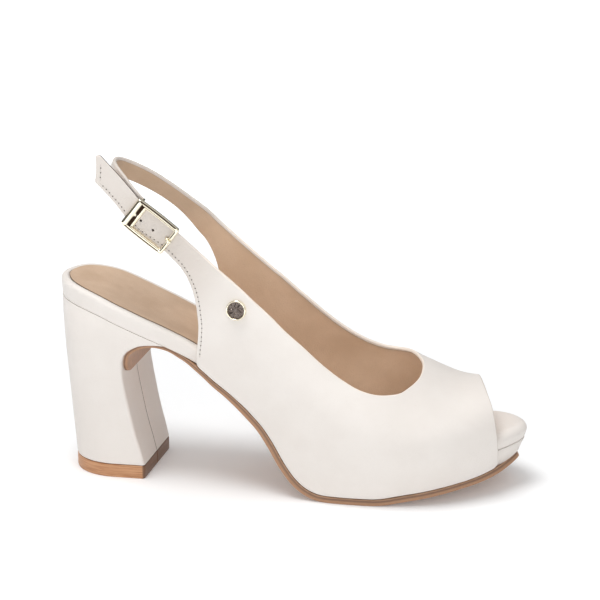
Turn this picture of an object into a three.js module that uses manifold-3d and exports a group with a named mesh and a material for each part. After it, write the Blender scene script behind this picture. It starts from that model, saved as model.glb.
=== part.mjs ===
// Peep toe slingback sandal on a block heel: the right shoe, standing empty on its heel tip and forefoot.
// Millimetres. +X runs to the toe, +Y to the inner side of the foot, +Z up.
// The origin is the middle of the heel tip's underside.
import * as THREE from 'three';
import { mergeVertices } from 'three/addons/utils/BufferGeometryUtils.js';
import Module from 'manifold-3d';

// Last
const SHOE_LENGTH = 221;
const BALL_WIDTH = 76;
const SEAT_HEIGHT = 93;
const TREAD_HEIGHT = 23.6;
const INSTEP_HEIGHT = 89;
const TOE_SPRING = 13.6;
const TOE_LIFT = 3.8;
const HEEL_SETBACK = 25.5;

// Walls and layers
const UPPER_WALL = 1.8;
const OUTSOLE_FOREFOOT = 3;
const OUTSOLE_WAIST = 1.8;
const BOARD_SEAT = 8.3;
const BOARD_TOE = 6.3;
const SOCK_THICKNESS = 0.7;
const SOCK_INSET = 3.5;
const SOCK_REACH = 0.6;
const SEAM_GAP = 0.3;
const SOLE_EDGE = -0.3;
const WAIST_INSET = 0.8;
const TOE_INSET = 5.5;
const BULGE = 2.2;
const WAISTLINE = 11;
const TUCK = 3.8;
const BOARD_ROUNDING = 2.2;

// Heel
const TIP_WIDTH = 43;
const TIP_DEPTH = 38.5;
const TIP_HEIGHT = 6.3;
const TIP_CHAMFER = 0.6;
const HEEL_INSET = 0.9;
const BREAST_TWIST = 2.2;
const TONGUE_WIDTH = 46;
const TONGUE_LEVEL = 0.615;

// Straps and hardware
const STRAP_WIDTH = 10.9;
const SLING_RISE = 54;
const LAYER_GAP = 0.4;
const TIP_SLANT = 30 * Math.PI / 180;
const BUCKLE_LENGTH = 22.4;
const BUCKLE_WIDTH = 14.8;
const BUCKLE_BAR = 2;
const BUCKLE_PLATE = 3.6;
const BUCKLE_DEPTH = 2;
const BUCKLE_FROM_ROOT = 25.3;
const BAR_SETBACK = 1.6;
const BAR_SIZE = 1.6;
const BAR_CLEARANCE = 1.3;
const SLING_MEETS = 40.5;
const SLING_SHOWS = 0.5;
const PRONG_WIDTH = 1.3;
const PRONG_DEPTH = 1.1;
const PRONG_OVERHANG = 0.4;
const HOLE_DIAMETER = 2.4;
const HOLE_PITCH = 7;
const STUD_DIAMETER = 8;
const STUD_HEIGHT = 1.8;
const STUD_RIM = 0.8;
const STUD_ALONG = 0.41;
const STUD_GIRTH = 0.217;

const COLUMNS = 10;
const EDGE_CROWDING = 1.35;
const UP = new THREE.Vector3(0, 0, 1);
const ACROSS = new THREE.Vector3(0, 1, 0);

// Outline of the insole board, anticlockwise from the back: share of the length, share of the ball width
const OUTLINE = [
  { along: 0, across: 0.02 }, { along: 0.018, across: -0.15 }, { along: 0.055, across: -0.26 },
  { along: 0.113, across: -0.325 }, { along: 0.19, across: -0.345 }, { along: 0.317, across: -0.355 },
  { along: 0.42, across: -0.385 }, { along: 0.52, across: -0.44 }, { along: 0.61, across: -0.49 },
  { along: 0.69, across: -0.5 }, { along: 0.76, across: -0.475 }, { along: 0.83, across: -0.41 },
  { along: 0.9, across: -0.275 }, { along: 0.95, across: -0.14 }, { along: 0.985, across: -0.02 },
  { along: 1, across: 0.1 }, { along: 0.985, across: 0.22 }, { along: 0.95, across: 0.335 },
  { along: 0.9, across: 0.425 }, { along: 0.83, across: 0.49 }, { along: 0.76, across: 0.5 },
  { along: 0.69, across: 0.455 }, { along: 0.61, across: 0.375 }, { along: 0.52, across: 0.3 },
  { along: 0.42, across: 0.27 }, { along: 0.317, across: 0.295 }, { along: 0.19, across: 0.345 },
  { along: 0.113, across: 0.345 }, { along: 0.055, across: 0.29 }, { along: 0.018, across: 0.19 },
];

// Top of the insole: share of the drop from seat to tread, and share of the toe lift
const BED = [
  { along: 0, drop: 0, lift: 0 }, { along: 0.045, drop: 0.01, lift: 0 },
  { along: 0.1, drop: 0.046, lift: 0 }, { along: 0.15, drop: 0.111, lift: 0 },
  { along: 0.2, drop: 0.177, lift: 0 }, { along: 0.25, drop: 0.242, lift: 0 },
  { along: 0.3, drop: 0.314, lift: 0 }, { along: 0.35, drop: 0.399, lift: 0 },
  { along: 0.4, drop: 0.493, lift: 0 }, { along: 0.45, drop: 0.595, lift: 0 },
  { along: 0.5, drop: 0.702, lift: 0 }, { along: 0.55, drop: 0.8, lift: 0 },
  { along: 0.6, drop: 0.882, lift: 0 }, { along: 0.65, drop: 0.942, lift: 0 },
  { along: 0.7, drop: 0.98, lift: 0 }, { along: 0.75, drop: 0.997, lift: 0 },
  { along: 0.8, drop: 1, lift: 0 }, { along: 0.85, drop: 1, lift: 0.13 },
  { along: 0.9, drop: 1, lift: 0.37 }, { along: 0.95, drop: 1, lift: 0.63 }, { along: 1, drop: 1, lift: 1 },
];

// Underside of the outsole: how far it is pressed from the insole's own line to the floor, share of
// the toe spring, share of the way from the waist thickness to the forefoot thickness, and where the
// upper covers its edge
const UNDERSIDE = [
  { along: 0.27, press: 0, spring: 0, thick: 0, cover: 0 },
  { along: 0.29, press: 0, spring: 0, thick: 0, cover: 0.2 },
  { along: 0.325, press: 0.022, spring: 0, thick: 0.2, cover: 1 },
  { along: 0.35, press: 0.057, spring: 0, thick: 0.4, cover: 1 },
  { along: 0.39, press: 0.099, spring: 0, thick: 0.7, cover: 1 },
  { along: 0.435, press: 0.185, spring: 0, thick: 1, cover: 1 },
  { along: 0.46, press: 0.27, spring: 0, thick: 1, cover: 1 },
  { along: 0.48, press: 0.395, spring: 0, thick: 1, cover: 1 },
  { along: 0.5, press: 0.558, spring: 0, thick: 1, cover: 1 },
  { along: 0.522, press: 0.724, spring: 0, thick: 1, cover: 1 },
  { along: 0.545, press: 0.858, spring: 0, thick: 1, cover: 1 },
  { along: 0.567, press: 0.943, spring: 0, thick: 1, cover: 1 },
  { along: 0.59, press: 0.993, spring: 0, thick: 1, cover: 1 },
  { along: 0.61, press: 1, spring: 0, thick: 1, cover: 1 },
  { along: 0.7, press: 1, spring: 0, thick: 1, cover: 1 },
  { along: 0.72, press: 1, spring: 0.025, thick: 1, cover: 1 },
  { along: 0.76, press: 1, spring: 0.14, thick: 1, cover: 1 },
  { along: 0.8, press: 1, spring: 0.24, thick: 1, cover: 1 },
  { along: 0.84, press: 1, spring: 0.34, thick: 1, cover: 1 },
  { along: 0.88, press: 1, spring: 0.435, thick: 1, cover: 1 },
  { along: 0.92, press: 1, spring: 0.545, thick: 1, cover: 1 },
  { along: 0.95, press: 1, spring: 0.66, thick: 1, cover: 0.9 },
  { along: 0.98, press: 1, spring: 0.84, thick: 1, cover: 0.3 },
  { along: 1, press: 1, spring: 1, thick: 1, cover: 0 },
];

// Sections of the upper: shares of the bulge beyond the board, of the height of its widest line, of
// the instep height, place of the instep as a share of the ball width, roundness to either side, and
// share of the tuck by which the bottom edge goes in under the board
const SECTIONS = [
  { along: 0.22, bulge: 0.23, waist: 0.55, instep: 1.115, ridge: 0, outer: 2.6, inner: 2.6, tuck: 0.13 },
  { along: 0.3, bulge: 0.23, waist: 0.73, instep: 1.043, ridge: 0, outer: 2.6, inner: 2.6, tuck: 0.13 },
  { along: 0.38, bulge: 0.36, waist: 0.91, instep: 0.917, ridge: 0, outer: 2.5, inner: 2.5, tuck: 0.13 },
  { along: 0.46, bulge: 0.55, waist: 1, instep: 0.772, ridge: 0, outer: 2.4, inner: 2.35, tuck: 0.21 },
  { along: 0.54, bulge: 0.73, waist: 0.91, instep: 0.643, ridge: 0.007, outer: 2.25, inner: 2.2, tuck: 0.42 },
  { along: 0.62, bulge: 0.91, waist: 0.77, instep: 0.53, ridge: 0.02, outer: 2.1, inner: 2.15, tuck: 0.63 },
  { along: 0.7, bulge: 1, waist: 0.68, instep: 0.468, ridge: 0.039, outer: 2.05, inner: 2.1, tuck: 0.74 },
  { along: 0.78, bulge: 1, waist: 0.64, instep: 0.368, ridge: 0.059, outer: 2.05, inner: 2.1, tuck: 0.79 },
  { along: 0.86, bulge: 0.91, waist: 0.64, instep: 0.282, ridge: 0.072, outer: 2.1, inner: 2.15, tuck: 0.84 },
  { along: 0.93, bulge: 0.82, waist: 0.64, instep: 0.27, ridge: 0.086, outer: 2.15, inner: 2.15, tuck: 0.92 },
  { along: 1, bulge: 0.73, waist: 0.64, instep: 0.22, ridge: 0.1, outer: 2.2, inner: 2.2, tuck: 1 },
];

// Edges of the upper as shares of the length and of the girth, which runs from the outer bottom edge
// over the instep to the inner one. The throat goes from the buckle strap round the front to the sling
// strap.
const THROAT = [
  { along: 0.333, girth: 0.257 }, { along: 0.374, girth: 0.27 }, { along: 0.416, girth: 0.279 },
  { along: 0.459, girth: 0.292 }, { along: 0.501, girth: 0.312 }, { along: 0.544, girth: 0.323 },
  { along: 0.587, girth: 0.32 }, { along: 0.629, girth: 0.307 }, { along: 0.67, girth: 0.289 },
  { along: 0.705, girth: 0.283 }, { along: 0.733, girth: 0.296 }, { along: 0.751, girth: 0.315 },
  { along: 0.766, girth: 0.35 }, { along: 0.777, girth: 0.389 }, { along: 0.782, girth: 0.433 },
  { along: 0.782, girth: 0.483 }, { along: 0.774, girth: 0.532 }, { along: 0.762, girth: 0.58 },
  { along: 0.747, girth: 0.63 }, { along: 0.73, girth: 0.675 }, { along: 0.708, girth: 0.708 },
  { along: 0.678, girth: 0.722 }, { along: 0.645, girth: 0.714 }, { along: 0.604, girth: 0.697 },
  { along: 0.562, girth: 0.688 }, { along: 0.52, girth: 0.69 }, { along: 0.477, girth: 0.704 },
  { along: 0.434, girth: 0.717 }, { along: 0.39, girth: 0.733 }, { along: 0.337, girth: 0.747 },
];
const QUARTER_BACK = [
  { along: 0.303, girth: 0.2 }, { along: 0.31, girth: 0.186 }, { along: 0.316, girth: 0.175 },
  { along: 0.3215, girth: 0.163 }, { along: 0.325, girth: 0.148 }, { along: 0.3275, girth: 0.128 },
  { along: 0.329, girth: 0.098 }, { along: 0.3265, girth: 0.06 }, { along: 0.3225, girth: 0.03 },
  { along: 0.3205, girth: 0 },
];
const PEEP_EDGE = [
  { along: 0.9475, girth: 0 }, { along: 0.9498, girth: 0.071 }, { along: 0.9498, girth: 0.158 },
  { along: 0.946, girth: 0.229 }, { along: 0.9386, girth: 0.304 }, { along: 0.9297, girth: 0.345 },
  { along: 0.9185, girth: 0.404 }, { along: 0.909, girth: 0.475 }, { along: 0.904, girth: 0.55 },
  { along: 0.904, girth: 0.63 }, { along: 0.908, girth: 0.72 }, { along: 0.913, girth: 0.81 },
  { along: 0.915, girth: 0.9 }, { along: 0.915, girth: 1 },
];
const QUARTER_BACK_INNER = QUARTER_BACK.map(({ along, girth }) => ({ along, girth: 1 - girth })).reverse();

// The upper is laid out in rows from its outer edges to the throat. Each stretch of outer edge faces a
// stretch of the throat, given as shares of the throat's length.
const STRETCHES = [
  { edge: QUARTER_BACK, from: 0, to: 0.12, rows: 8 },
  { edge: [{ along: 0.3205, girth: 0 }, { along: 0.9475, girth: 0 }], from: 0.12, to: 0.43, rows: 24 },
  { edge: PEEP_EDGE, from: 0.43, to: 0.57, rows: 16 },
  { edge: [{ along: 0.915, girth: 1 }, { along: 0.3205, girth: 1 }], from: 0.57, to: 0.88, rows: 24 },
  { edge: QUARTER_BACK_INNER, from: 0.88, to: 1, rows: 8 },
];

// Centre lines of the two straps: shares of the length, the ball width and the rise of the sling above
// the seat. The buckle strap starts at the outer quarter, the sling at the inner one.
const BUCKLE_STRAP = [
  { along: 0.3176, across: -0.375, rise: 0.328 }, { along: 0.2959, across: -0.375, rise: 0.414 },
  { along: 0.2729, across: -0.375, rise: 0.488 }, { along: 0.251, across: -0.375, rise: 0.555 },
  { along: 0.2305, across: -0.376, rise: 0.624 }, { along: 0.2096, across: -0.378, rise: 0.696 },
  { along: 0.1903, across: -0.38, rise: 0.774 }, { along: 0.1697, across: -0.383, rise: 0.886 },
  { along: 0.1483, across: -0.386, rise: 0.986 }, { along: 0.1199, across: -0.388, rise: 1.084 },
];
const SLING_STRAP = [
  { along: 0.335, across: 0.3, rise: 0.229 }, { along: 0.314, across: 0.295, rise: 0.334 },
  { along: 0.293, across: 0.282, rise: 0.425 }, { along: 0.273, across: 0.271, rise: 0.512 },
  { along: 0.252, across: 0.258, rise: 0.599 }, { along: 0.233, across: 0.238, rise: 0.671 },
  { along: 0.214, across: 0.213, rise: 0.738 }, { along: 0.193, across: 0.188, rise: 0.802 },
  { along: 0.174, across: 0.149, rise: 0.862 }, { along: 0.1398, across: 0.071, rise: 0.913 },
  { along: 0.1299, across: 0.016, rise: 0.943 }, { along: 0.1267, across: -0.053, rise: 0.961 },
  { along: 0.1321, across: -0.126, rise: 0.972 }, { along: 0.1416, across: -0.192, rise: 0.972 },
  { along: 0.1534, across: -0.25, rise: 0.957 }, { along: 0.1647, across: -0.3, rise: 0.919 },
];

// Block heel, from tip to seat: share of the height, breast moved back as a share of the tip's depth,
// share of the way to the lip under the waist, and share of the way from the tip's outline to the
// seat's
const HEEL = [
  { level: 0, lean: 0, flare: 0, spread: 0 }, { level: 0.11, lean: -0.042, flare: 0, spread: 0.12 },
  { level: 0.215, lean: -0.09, flare: 0, spread: 0.24 },
  { level: 0.32, lean: -0.132, flare: 0, spread: 0.35 },
  { level: 0.45, lean: -0.177, flare: 0, spread: 0.49 },
  { level: 0.55, lean: -0.21, flare: 0, spread: 0.59 },
  { level: 0.63, lean: -0.231, flare: 0, spread: 0.67 },
  { level: 0.73, lean: -0.236, flare: 0, spread: 0.76 },
  { level: 0.77, lean: -0.236, flare: 0.01, spread: 0.8 },
  { level: 0.8, lean: -0.236, flare: 0.036, spread: 0.83 },
  { level: 0.83, lean: -0.236, flare: 0.095, spread: 0.86 },
  { level: 0.86, lean: -0.236, flare: 0.18, spread: 0.89 },
  { level: 0.89, lean: -0.236, flare: 0.285, spread: 0.92 },
  { level: 0.92, lean: -0.236, flare: 0.41, spread: 0.95 },
  { level: 0.95, lean: -0.236, flare: 0.6, spread: 0.97 },
  { level: 0.98, lean: -0.236, flare: 0.83, spread: 0.99 }, { level: 1, lean: -0.236, flare: 1, spread: 1 },
];
const LIP_REACH = 0.25;

const at = (share) => share * SHOE_LENGTH - HEEL_SETBACK;
const shareAt = (x) => (x + HEEL_SETBACK) / SHOE_LENGTH;
const clamp = THREE.MathUtils.clamp;
const lerp = THREE.MathUtils.lerp;
const smooth = THREE.MathUtils.smoothstep;

// A smooth function through a table's column, with slopes taken from the neighbouring rows
function column(table, name, key = 'along') {
  const x = table.map((row) => row[key]);
  const y = table.map((row) => row[name]);
  const last = x.length - 1;
  const rate = x.slice(1).map((value, i) => (y[i + 1] - y[i]) / (value - x[i]));
  const slope = x.map((_, i) => {
    if (i === 0) return rate[0];
    if (i === last) return rate[last - 1];
    const before = x[i] - x[i - 1];
    const after = x[i + 1] - x[i];
    return (rate[i - 1] * after + rate[i] * before) / (before + after);
  });
  return (value) => {
    const v = clamp(value, x[0], x[last]);
    let i = 0;
    while (i < last - 1 && v > x[i + 1]) i += 1;
    const h = x[i + 1] - x[i];
    const t = (v - x[i]) / h;
    return (1 + 2 * t) * (1 - t) ** 2 * y[i] + t * (1 - t) ** 2 * h * slope[i]
      + t * t * (3 - 2 * t) * y[i + 1] + t * t * (t - 1) * h * slope[i + 1];
  };
}

// Levels of the sole at a place X
const bedDrop = column(BED, 'drop');
const bedLift = column(BED, 'lift');
const press = column(UNDERSIDE, 'press');
const spring = column(UNDERSIDE, 'spring');
const thick = column(UNDERSIDE, 'thick');
const cover = column(UNDERSIDE, 'cover');
const tuckShare = column(SECTIONS, 'tuck');
const tuck = (share) => TUCK * tuckShare(share);

function bed(x) {
  const share = shareAt(x);
  return SEAT_HEIGHT - (SEAT_HEIGHT - TREAD_HEIGHT) * bedDrop(share) + TOE_LIFT * bedLift(share);
}

const slopeFactor = (level, x) => Math.hypot(1, (level(x + 1) - level(x - 1)) / 2);
const boardDepth = (x) => lerp(BOARD_SEAT, BOARD_TOE, smooth(shareAt(x), 0.4, 0.9));
const boardBottom = (x) => bed(x) - boardDepth(x);
const outsoleDepth = (x) => lerp(OUTSOLE_WAIST, OUTSOLE_FOREFOOT, thick(shareAt(x)));

function underside(x) {
  const share = shareAt(x);
  const waist = bed(x) - BOARD_SEAT - (SEAM_GAP + OUTSOLE_WAIST) * slopeFactor(bed, x);
  return waist * (1 - Math.min(press(share), 1)) + TOE_SPRING * Math.max(spring(share), 0);
}

// The outsole's edge follows the upper where that comes down on it, and lies inside the board elsewhere
const soleInset = (share) => lerp(
  lerp(WAIST_INSET, TOE_INSET, smooth(share, 0.3, 0.9)),
  tuck(share) - SEAM_GAP - UPPER_WALL - SOLE_EDGE,
  cover(share),
);

const outsoleTop = (x) => underside(x) + outsoleDepth(x) * slopeFactor(underside, x);

// The board's outline moved inwards by an inset that may vary along the foot: its ends and its two sides
function outline(inset) {
  const corners = OUTLINE.map(({ along, across }) => new THREE.Vector3(at(along), across * BALL_WIDTH, 0));
  const curve = new THREE.CatmullRomCurve3(corners, true, 'catmullrom', 0.5);
  const count = 720;
  const line = [];
  for (let i = 0; i < count; i += 1) {
    const point = curve.getPoint(i / count);
    const ahead = curve.getPoint(((i + 0.5) / count) % 1);
    const behind = curve.getPoint((i - 0.5 + count) % count / count);
    const tangent = ahead.sub(behind).normalize();
    const move = inset(shareAt(point.x));
    line.push({ x: point.x - tangent.y * move, y: point.y + tangent.x * move });
  }
  const back = line.reduce((best, p, i) => (p.x < line[best].x ? i : best), 0);
  const toe = line.reduce((best, p, i) => (p.x > line[best].x ? i : best), 0);
  const walk = (from, to, step) => {
    const side = [line[from]];
    for (let i = from; i !== to; i = (i + step + count) % count) {
      const next = line[(i + step + count) % count];
      if (next.x > side[side.length - 1].x) side.push(next);
    }
    return (x) => {
      let k = 1;
      while (k < side.length - 1 && side[k].x < x) k += 1;
      const t = clamp((x - side[k - 1].x) / (side[k].x - side[k - 1].x), 0, 1);
      return lerp(side[k - 1].y, side[k].y, t);
    };
  };
  return { back: line[back].x, toe: line[toe].x, outer: walk(back, toe, 1), inner: walk(back, toe, -1) };
}

// Turns a closed triangle mesh into one body with its faces pointing out
function closedBody(positions, index) {
  const geometry = new THREE.BufferGeometry();
  const numbers = positions.flatMap((p) => [p.x, p.y, p.z]);
  geometry.setAttribute('position', new THREE.Float32BufferAttribute(numbers, 3));
  let volume = 0;
  for (let i = 0; i < index.length; i += 3) {
    const [a, b, c] = [positions[index[i]], positions[index[i + 1]], positions[index[i + 2]]];
    volume += a.dot(b.clone().cross(c));
  }
  geometry.setIndex(volume > 0 ? index : index.slice().reverse());
  return geometry;
}

// A solid through closed rings of equally many points. Its ends are closed by strips between opposite
// points.
function loft(rings) {
  const size = rings[0].length;
  const index = [];
  const quad = (a, b, c, d) => index.push(a, b, c, a, c, d);
  for (let r = 0; r + 1 < rings.length; r += 1) {
    for (let k = 0; k < size; k += 1) {
      const next = (k + 1) % size;
      quad(r * size + k, r * size + next, (r + 1) * size + next, (r + 1) * size + k);
    }
  }
  const end = (rings.length - 1) * size;
  for (let k = 0; k + 1 < size / 2; k += 1) {
    quad(k + 1, k, size - 1 - k, size - 2 - k);
    quad(end + k, end + k + 1, end + size - 2 - k, end + size - 1 - k);
  }
  return closedBody(rings.flat(), index);
}

// A layer of the sole: rings across the foot from back to toe, through edges given from top to bottom,
// each with its inset from the board's outline and its level
function layer(edges, { from = -Infinity, to = Infinity, ribs = 48 } = {}) {
  const sides = edges.map((edge) => outline(edge.inset));
  const rings = [];
  for (let i = 0; i <= ribs; i += 1) {
    const t = (1 - Math.cos(lerp(0.05, Math.PI - 0.05, i / ribs))) / 2;
    const pick = (side, edge) => {
      const x = lerp(Math.max(side.back, from), Math.min(side.toe, to), t);
      const z = edge.level(x);
      return [new THREE.Vector3(x, side.outer(x), z), new THREE.Vector3(x, side.inner(x), z)];
    };
    const pairs = sides.map((side, k) => pick(side, edges[k]));
    rings.push([...pairs.map((pair) => pair[0]), ...pairs.map((pair) => pair[1]).reverse()]);
  }
  return loft(rings);
}

function makeBoard() {
  const low = (share) => tuck(share) * lerp(1, 0.55, smooth(share, 0.4, 0.7));
  return layer([
    { inset: () => BOARD_ROUNDING, level: (x) => bed(x) },
    { inset: () => 0.3 * BOARD_ROUNDING, level: (x) => bed(x) - 0.3 * BOARD_ROUNDING },
    { inset: () => 0, level: (x) => bed(x) - BOARD_ROUNDING },
    { inset: (share) => 0.4 * low(share), level: (x) => bed(x) - boardDepth(x) * 0.6 },
    { inset: low, level: boardBottom },
  ], { ribs: 56 });
}

function makeSock() {
  const under = (x) => bed(x) + SEAM_GAP;
  return layer([
    { inset: () => SOCK_INSET, level: (x) => under(x) + SOCK_THICKNESS },
    { inset: () => SOCK_INSET - 0.3, level: under },
  ], { to: at(SOCK_REACH), ribs: 36 });
}

function makePlatform() {
  const top = (x) => boardBottom(x) - SEAM_GAP;
  const bottom = (x) => outsoleTop(x) + SEAM_GAP;
  let start = at(0.3);
  while (top(start) - bottom(start) < 1.2) start += 0.5;
  return layer([
    { inset: (share) => 0.7 * tuck(share), level: top },
    { inset: (share) => 0.9 * tuck(share), level: (x) => lerp(top(x), bottom(x), 0.5) },
    { inset: tuck, level: bottom },
  ], { from: start, ribs: 44 });
}

// The heel's breast in side view at a level from tip to seat
const heelLean = column(HEEL, 'lean', 'level');
const heelFlare = column(HEEL, 'flare', 'level');
const heelSpread = column(HEEL, 'spread', 'level');
const heelTop = (x) => boardBottom(x) - SEAM_GAP;

function breastX(level) {
  const shaft = TIP_DEPTH / 2 + heelLean(level) * TIP_DEPTH;
  return lerp(shaft, at(LIP_REACH), heelFlare(level));
}

const heelZ = (x, level) => lerp(TIP_HEIGHT + SEAM_GAP, heelTop(x), level);
const breastPoint = (level) => new THREE.Vector3(breastX(level), 0, heelZ(breastX(level), level));

// Half an oval up to a straight stretch: the half width at a share of the depth from the back
function tipHalfWidth(share) {
  const round = 0.6;
  const t = clamp(share / round, 0, 1);
  return TIP_WIDTH / 2 * (1 - (1 - t) ** 2.1) ** (1 / 2.1);
}

function heelRing(level, seat, steps = 16) {
  const back = lerp(-TIP_DEPTH / 2, seat.back, heelSpread(level));
  const front = breastX(level);
  const outer = [];
  const inner = [];
  for (let i = 0; i <= steps; i += 1) {
    const share = 1 - Math.cos(lerp(0.06, Math.PI / 2, i / steps));
    const x = lerp(back, front, share);
    const seatX = lerp(seat.back, at(LIP_REACH), share);
    const spread = heelSpread(level);
    const twist = BREAST_TWIST / 2 * smooth(share, 0.5, 1) * (1 - heelFlare(level));
    const left = lerp(-tipHalfWidth(share), seat.outer(seatX), spread);
    const right = lerp(tipHalfWidth(share), seat.inner(seatX), spread);
    outer.push(new THREE.Vector3(x - twist, left, heelZ(x, level)));
    inner.push(new THREE.Vector3(x + twist, right, heelZ(x, level)));
  }
  return [...outer.reverse(), ...inner];
}

function makeHeel() {
  const seat = outline(() => HEEL_INSET);
  return loft(HEEL.map(({ level }) => heelRing(level, seat)));
}

function makeTopPiece() {
  const ring = heelRing(0, outline(() => HEEL_INSET));
  const shrink = (z, factor) => ring.map((p) => new THREE.Vector3(p.x * factor, p.y * factor, z));
  const foot = 1 - TIP_CHAMFER / TIP_DEPTH;
  return loft([shrink(0, foot), shrink(TIP_CHAMFER, 1), shrink(TIP_HEIGHT, 1)]);
}

// The outsole's upper face in side view, from the tongue's end up the heel breast, under the lip and
// out to the toe
function makeOutsole() {
  const path = [];
  for (let level = TONGUE_LEVEL; level < 0.97; level += 0.03) path.push(breastPoint(level));
  const climb = path.length;
  const edge = outline(soleInset);
  const start = at(LIP_REACH) + 2;
  const count = 44;
  for (let i = 0; i <= count; i += 1) {
    const x = lerp(start, edge.toe, Math.sin(lerp(0, Math.PI / 2 - 0.05, i / count)));
    path.push(new THREE.Vector3(x, 0, outsoleTop(x)));
  }
  const rings = path.map((point, i) => {
    const before = path[Math.max(i - 1, 0)];
    const after = path[Math.min(i + 1, path.length - 1)];
    const ahead = new THREE.Vector3().subVectors(after, before).normalize();
    const down = ahead.applyAxisAngle(ACROSS, Math.PI / 2);
    const onHeel = 1 - smooth(i, climb - 4, climb + 1);
    const top = point.clone().addScaledVector(down, SEAM_GAP * onHeel);
    const bottom = top.clone().addScaledVector(down, outsoleDepth(point.x));
    const end = Math.sqrt(clamp((i + 0.6) / 3, 0, 1));
    const tongue = TONGUE_WIDTH / 2 * (0.45 + 0.55 * end);
    const left = i < climb ? -tongue : Math.max(edge.outer(point.x), -BALL_WIDTH);
    const right = i < climb ? tongue : edge.inner(point.x);
    const place = (p, y) => new THREE.Vector3(p.x + y * BREAST_TWIST / TIP_WIDTH * onHeel, y, p.z);
    return [place(top, left), place(bottom, left), place(bottom, right), place(top, right)];
  });
  return loft(rings);
}

// Sections of the upper's outer face
const bulge = column(SECTIONS, 'bulge');
const waistline = column(SECTIONS, 'waist');
const instep = column(SECTIONS, 'instep');
const ridge = column(SECTIONS, 'ridge');
const outerRound = column(SECTIONS, 'outer');
const innerRound = column(SECTIONS, 'inner');
const wallOut = SEAM_GAP + UPPER_WALL;
const boardSides = outline(() => -wallOut);
const tuckedSides = outline((share) => tuck(share) - wallOut);

function sectionLine(x) {
  const share = shareAt(x);
  const low = outsoleTop(x) + SEAM_GAP * slopeFactor(outsoleTop, x);
  const wide = bed(x) + WAISTLINE * waistline(share);
  const high = bed(x) + INSTEP_HEIGHT * instep(share);
  const top = ridge(share) * BALL_WIDTH;
  const half = (sign, side, bottomSide, round) => {
    const wideY = side(x) + sign * BULGE * bulge(share);
    const lowY = bottomSide(x);
    const line = [];
    for (let i = 0; i < 24; i += 1) {
      const t = i / 24;
      line.push({ y: lerp(lowY, wideY, Math.sin(t * Math.PI / 2)), z: lerp(low, wide, t) });
    }
    for (let i = 0; i <= 48; i += 1) {
      const angle = i / 48 * Math.PI / 2;
      const y = top + (wideY - top) * Math.cos(angle) ** (2 / round);
      line.push({ y, z: wide + (high - wide) * Math.sin(angle) ** (2 / round) });
    }
    return line;
  };
  const outer = half(-1, boardSides.outer, tuckedSides.outer, outerRound(share));
  const inner = half(1, boardSides.inner, tuckedSides.inner, innerRound(share));
  return [...outer, ...inner.reverse().slice(1)];
}

// The point of the upper's outer face at a share of the length and a share of the girth
function surfacePoint(along, girth) {
  const x = at(along);
  const line = sectionLine(x);
  const lengths = line.map((p, i) => (i ? Math.hypot(p.y - line[i - 1].y, p.z - line[i - 1].z) : 0));
  const total = lengths.reduce((sum, value) => sum + value, 0);
  let left = clamp(girth, 0, 1) * total;
  let k = 1;
  while (k < line.length - 1 && left > lengths[k]) {
    left -= lengths[k];
    k += 1;
  }
  const t = clamp(left / lengths[k], 0, 1);
  return new THREE.Vector3(x, lerp(line[k - 1].y, line[k].y, t), lerp(line[k - 1].z, line[k].z, t));
}

// The columns lie closer together towards the bottom edge, where the upper turns under the board
const columnShare = (k) => (k / COLUMNS) ** EDGE_CROWDING;

const flatCurve = (table) => new THREE.CatmullRomCurve3(
  table.map(({ along, girth }) => new THREE.Vector3(along, girth, 0)), false, 'centripetal');

// Rows of the quarters and the vamp, from the buckle strap's root round the toe to the sling's root
function shellRows() {
  const throat = flatCurve(THROAT);
  const rows = [];
  STRETCHES.forEach(({ edge, from, to, rows: count }, s) => {
    const border = edge.length > 2 ? flatCurve(edge) : new THREE.LineCurve3(
      ...edge.map(({ along, girth }) => new THREE.Vector3(along, girth, 0)));
    for (let i = s ? 1 : 0; i <= count; i += 1) {
      const low = border.getPointAt(i / count);
      const high = throat.getPointAt(lerp(from, to, i / count));
      const row = [];
      for (let k = 0; k <= COLUMNS; k += 1) {
        const place = low.clone().lerp(high, columnShare(k));
        row.push(surfacePoint(place.x, place.y));
      }
      rows.push(row);
    }
  });
  return rows;
}

const spacePoint = ({ along, across, rise }) => new THREE.Vector3(
  at(along), across * BALL_WIDTH, SEAT_HEIGHT + rise * SLING_RISE);

// A strap leaves the quarter from the middle of its last row. Its side is 1 where its right hand, seen
// along its run, faces out, and -1 where that faces in.
function makeStrap(points, root, side) {
  const shift = root.clone().sub(points[0]);
  const moved = points.map((p, i) => p.clone().addScaledVector(shift, Math.max(0, 1 - i / 5) ** 2));
  const curve = new THREE.CatmullRomCurve3(moved, false, 'centripetal');
  return { curve, side, length: curve.getLength() };
}

// Place on a strap: centre, direction, outward normal and the direction up its width
function strapFrame({ curve, side }, share) {
  const centre = curve.getPointAt(share);
  const along = curve.getTangentAt(share);
  const out = new THREE.Vector3().crossVectors(along, UP).normalize().multiplyScalar(side);
  return { centre, along, out, up: new THREE.Vector3().crossVectors(out, along).multiplyScalar(side) };
}

// Rows of a strap after its root row, each from the strap's lower edge to its upper edge
function strapRows(strap, rootRow, count, slant) {
  const rootHalf = rootRow[COLUMNS].clone().sub(rootRow[0]).multiplyScalar(0.5);
  const rows = [];
  for (let i = 1; i <= count; i += 1) {
    const share = i / count;
    const { centre, along, up } = strapFrame(strap, share);
    const half = rootHalf.clone().lerp(up.multiplyScalar(STRAP_WIDTH / 2), smooth(share, 0, 0.3));
    const skew = Math.tan(slant) * smooth(share, 0.75, 1) * STRAP_WIDTH / 2;
    const row = [];
    for (let k = 0; k <= COLUMNS; k += 1) {
      const t = 2 * columnShare(k) - 1;
      row.push(centre.clone().addScaledVector(half, t).addScaledVector(along, t * skew));
    }
    rows.push(row);
  }
  return rows;
}

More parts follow.
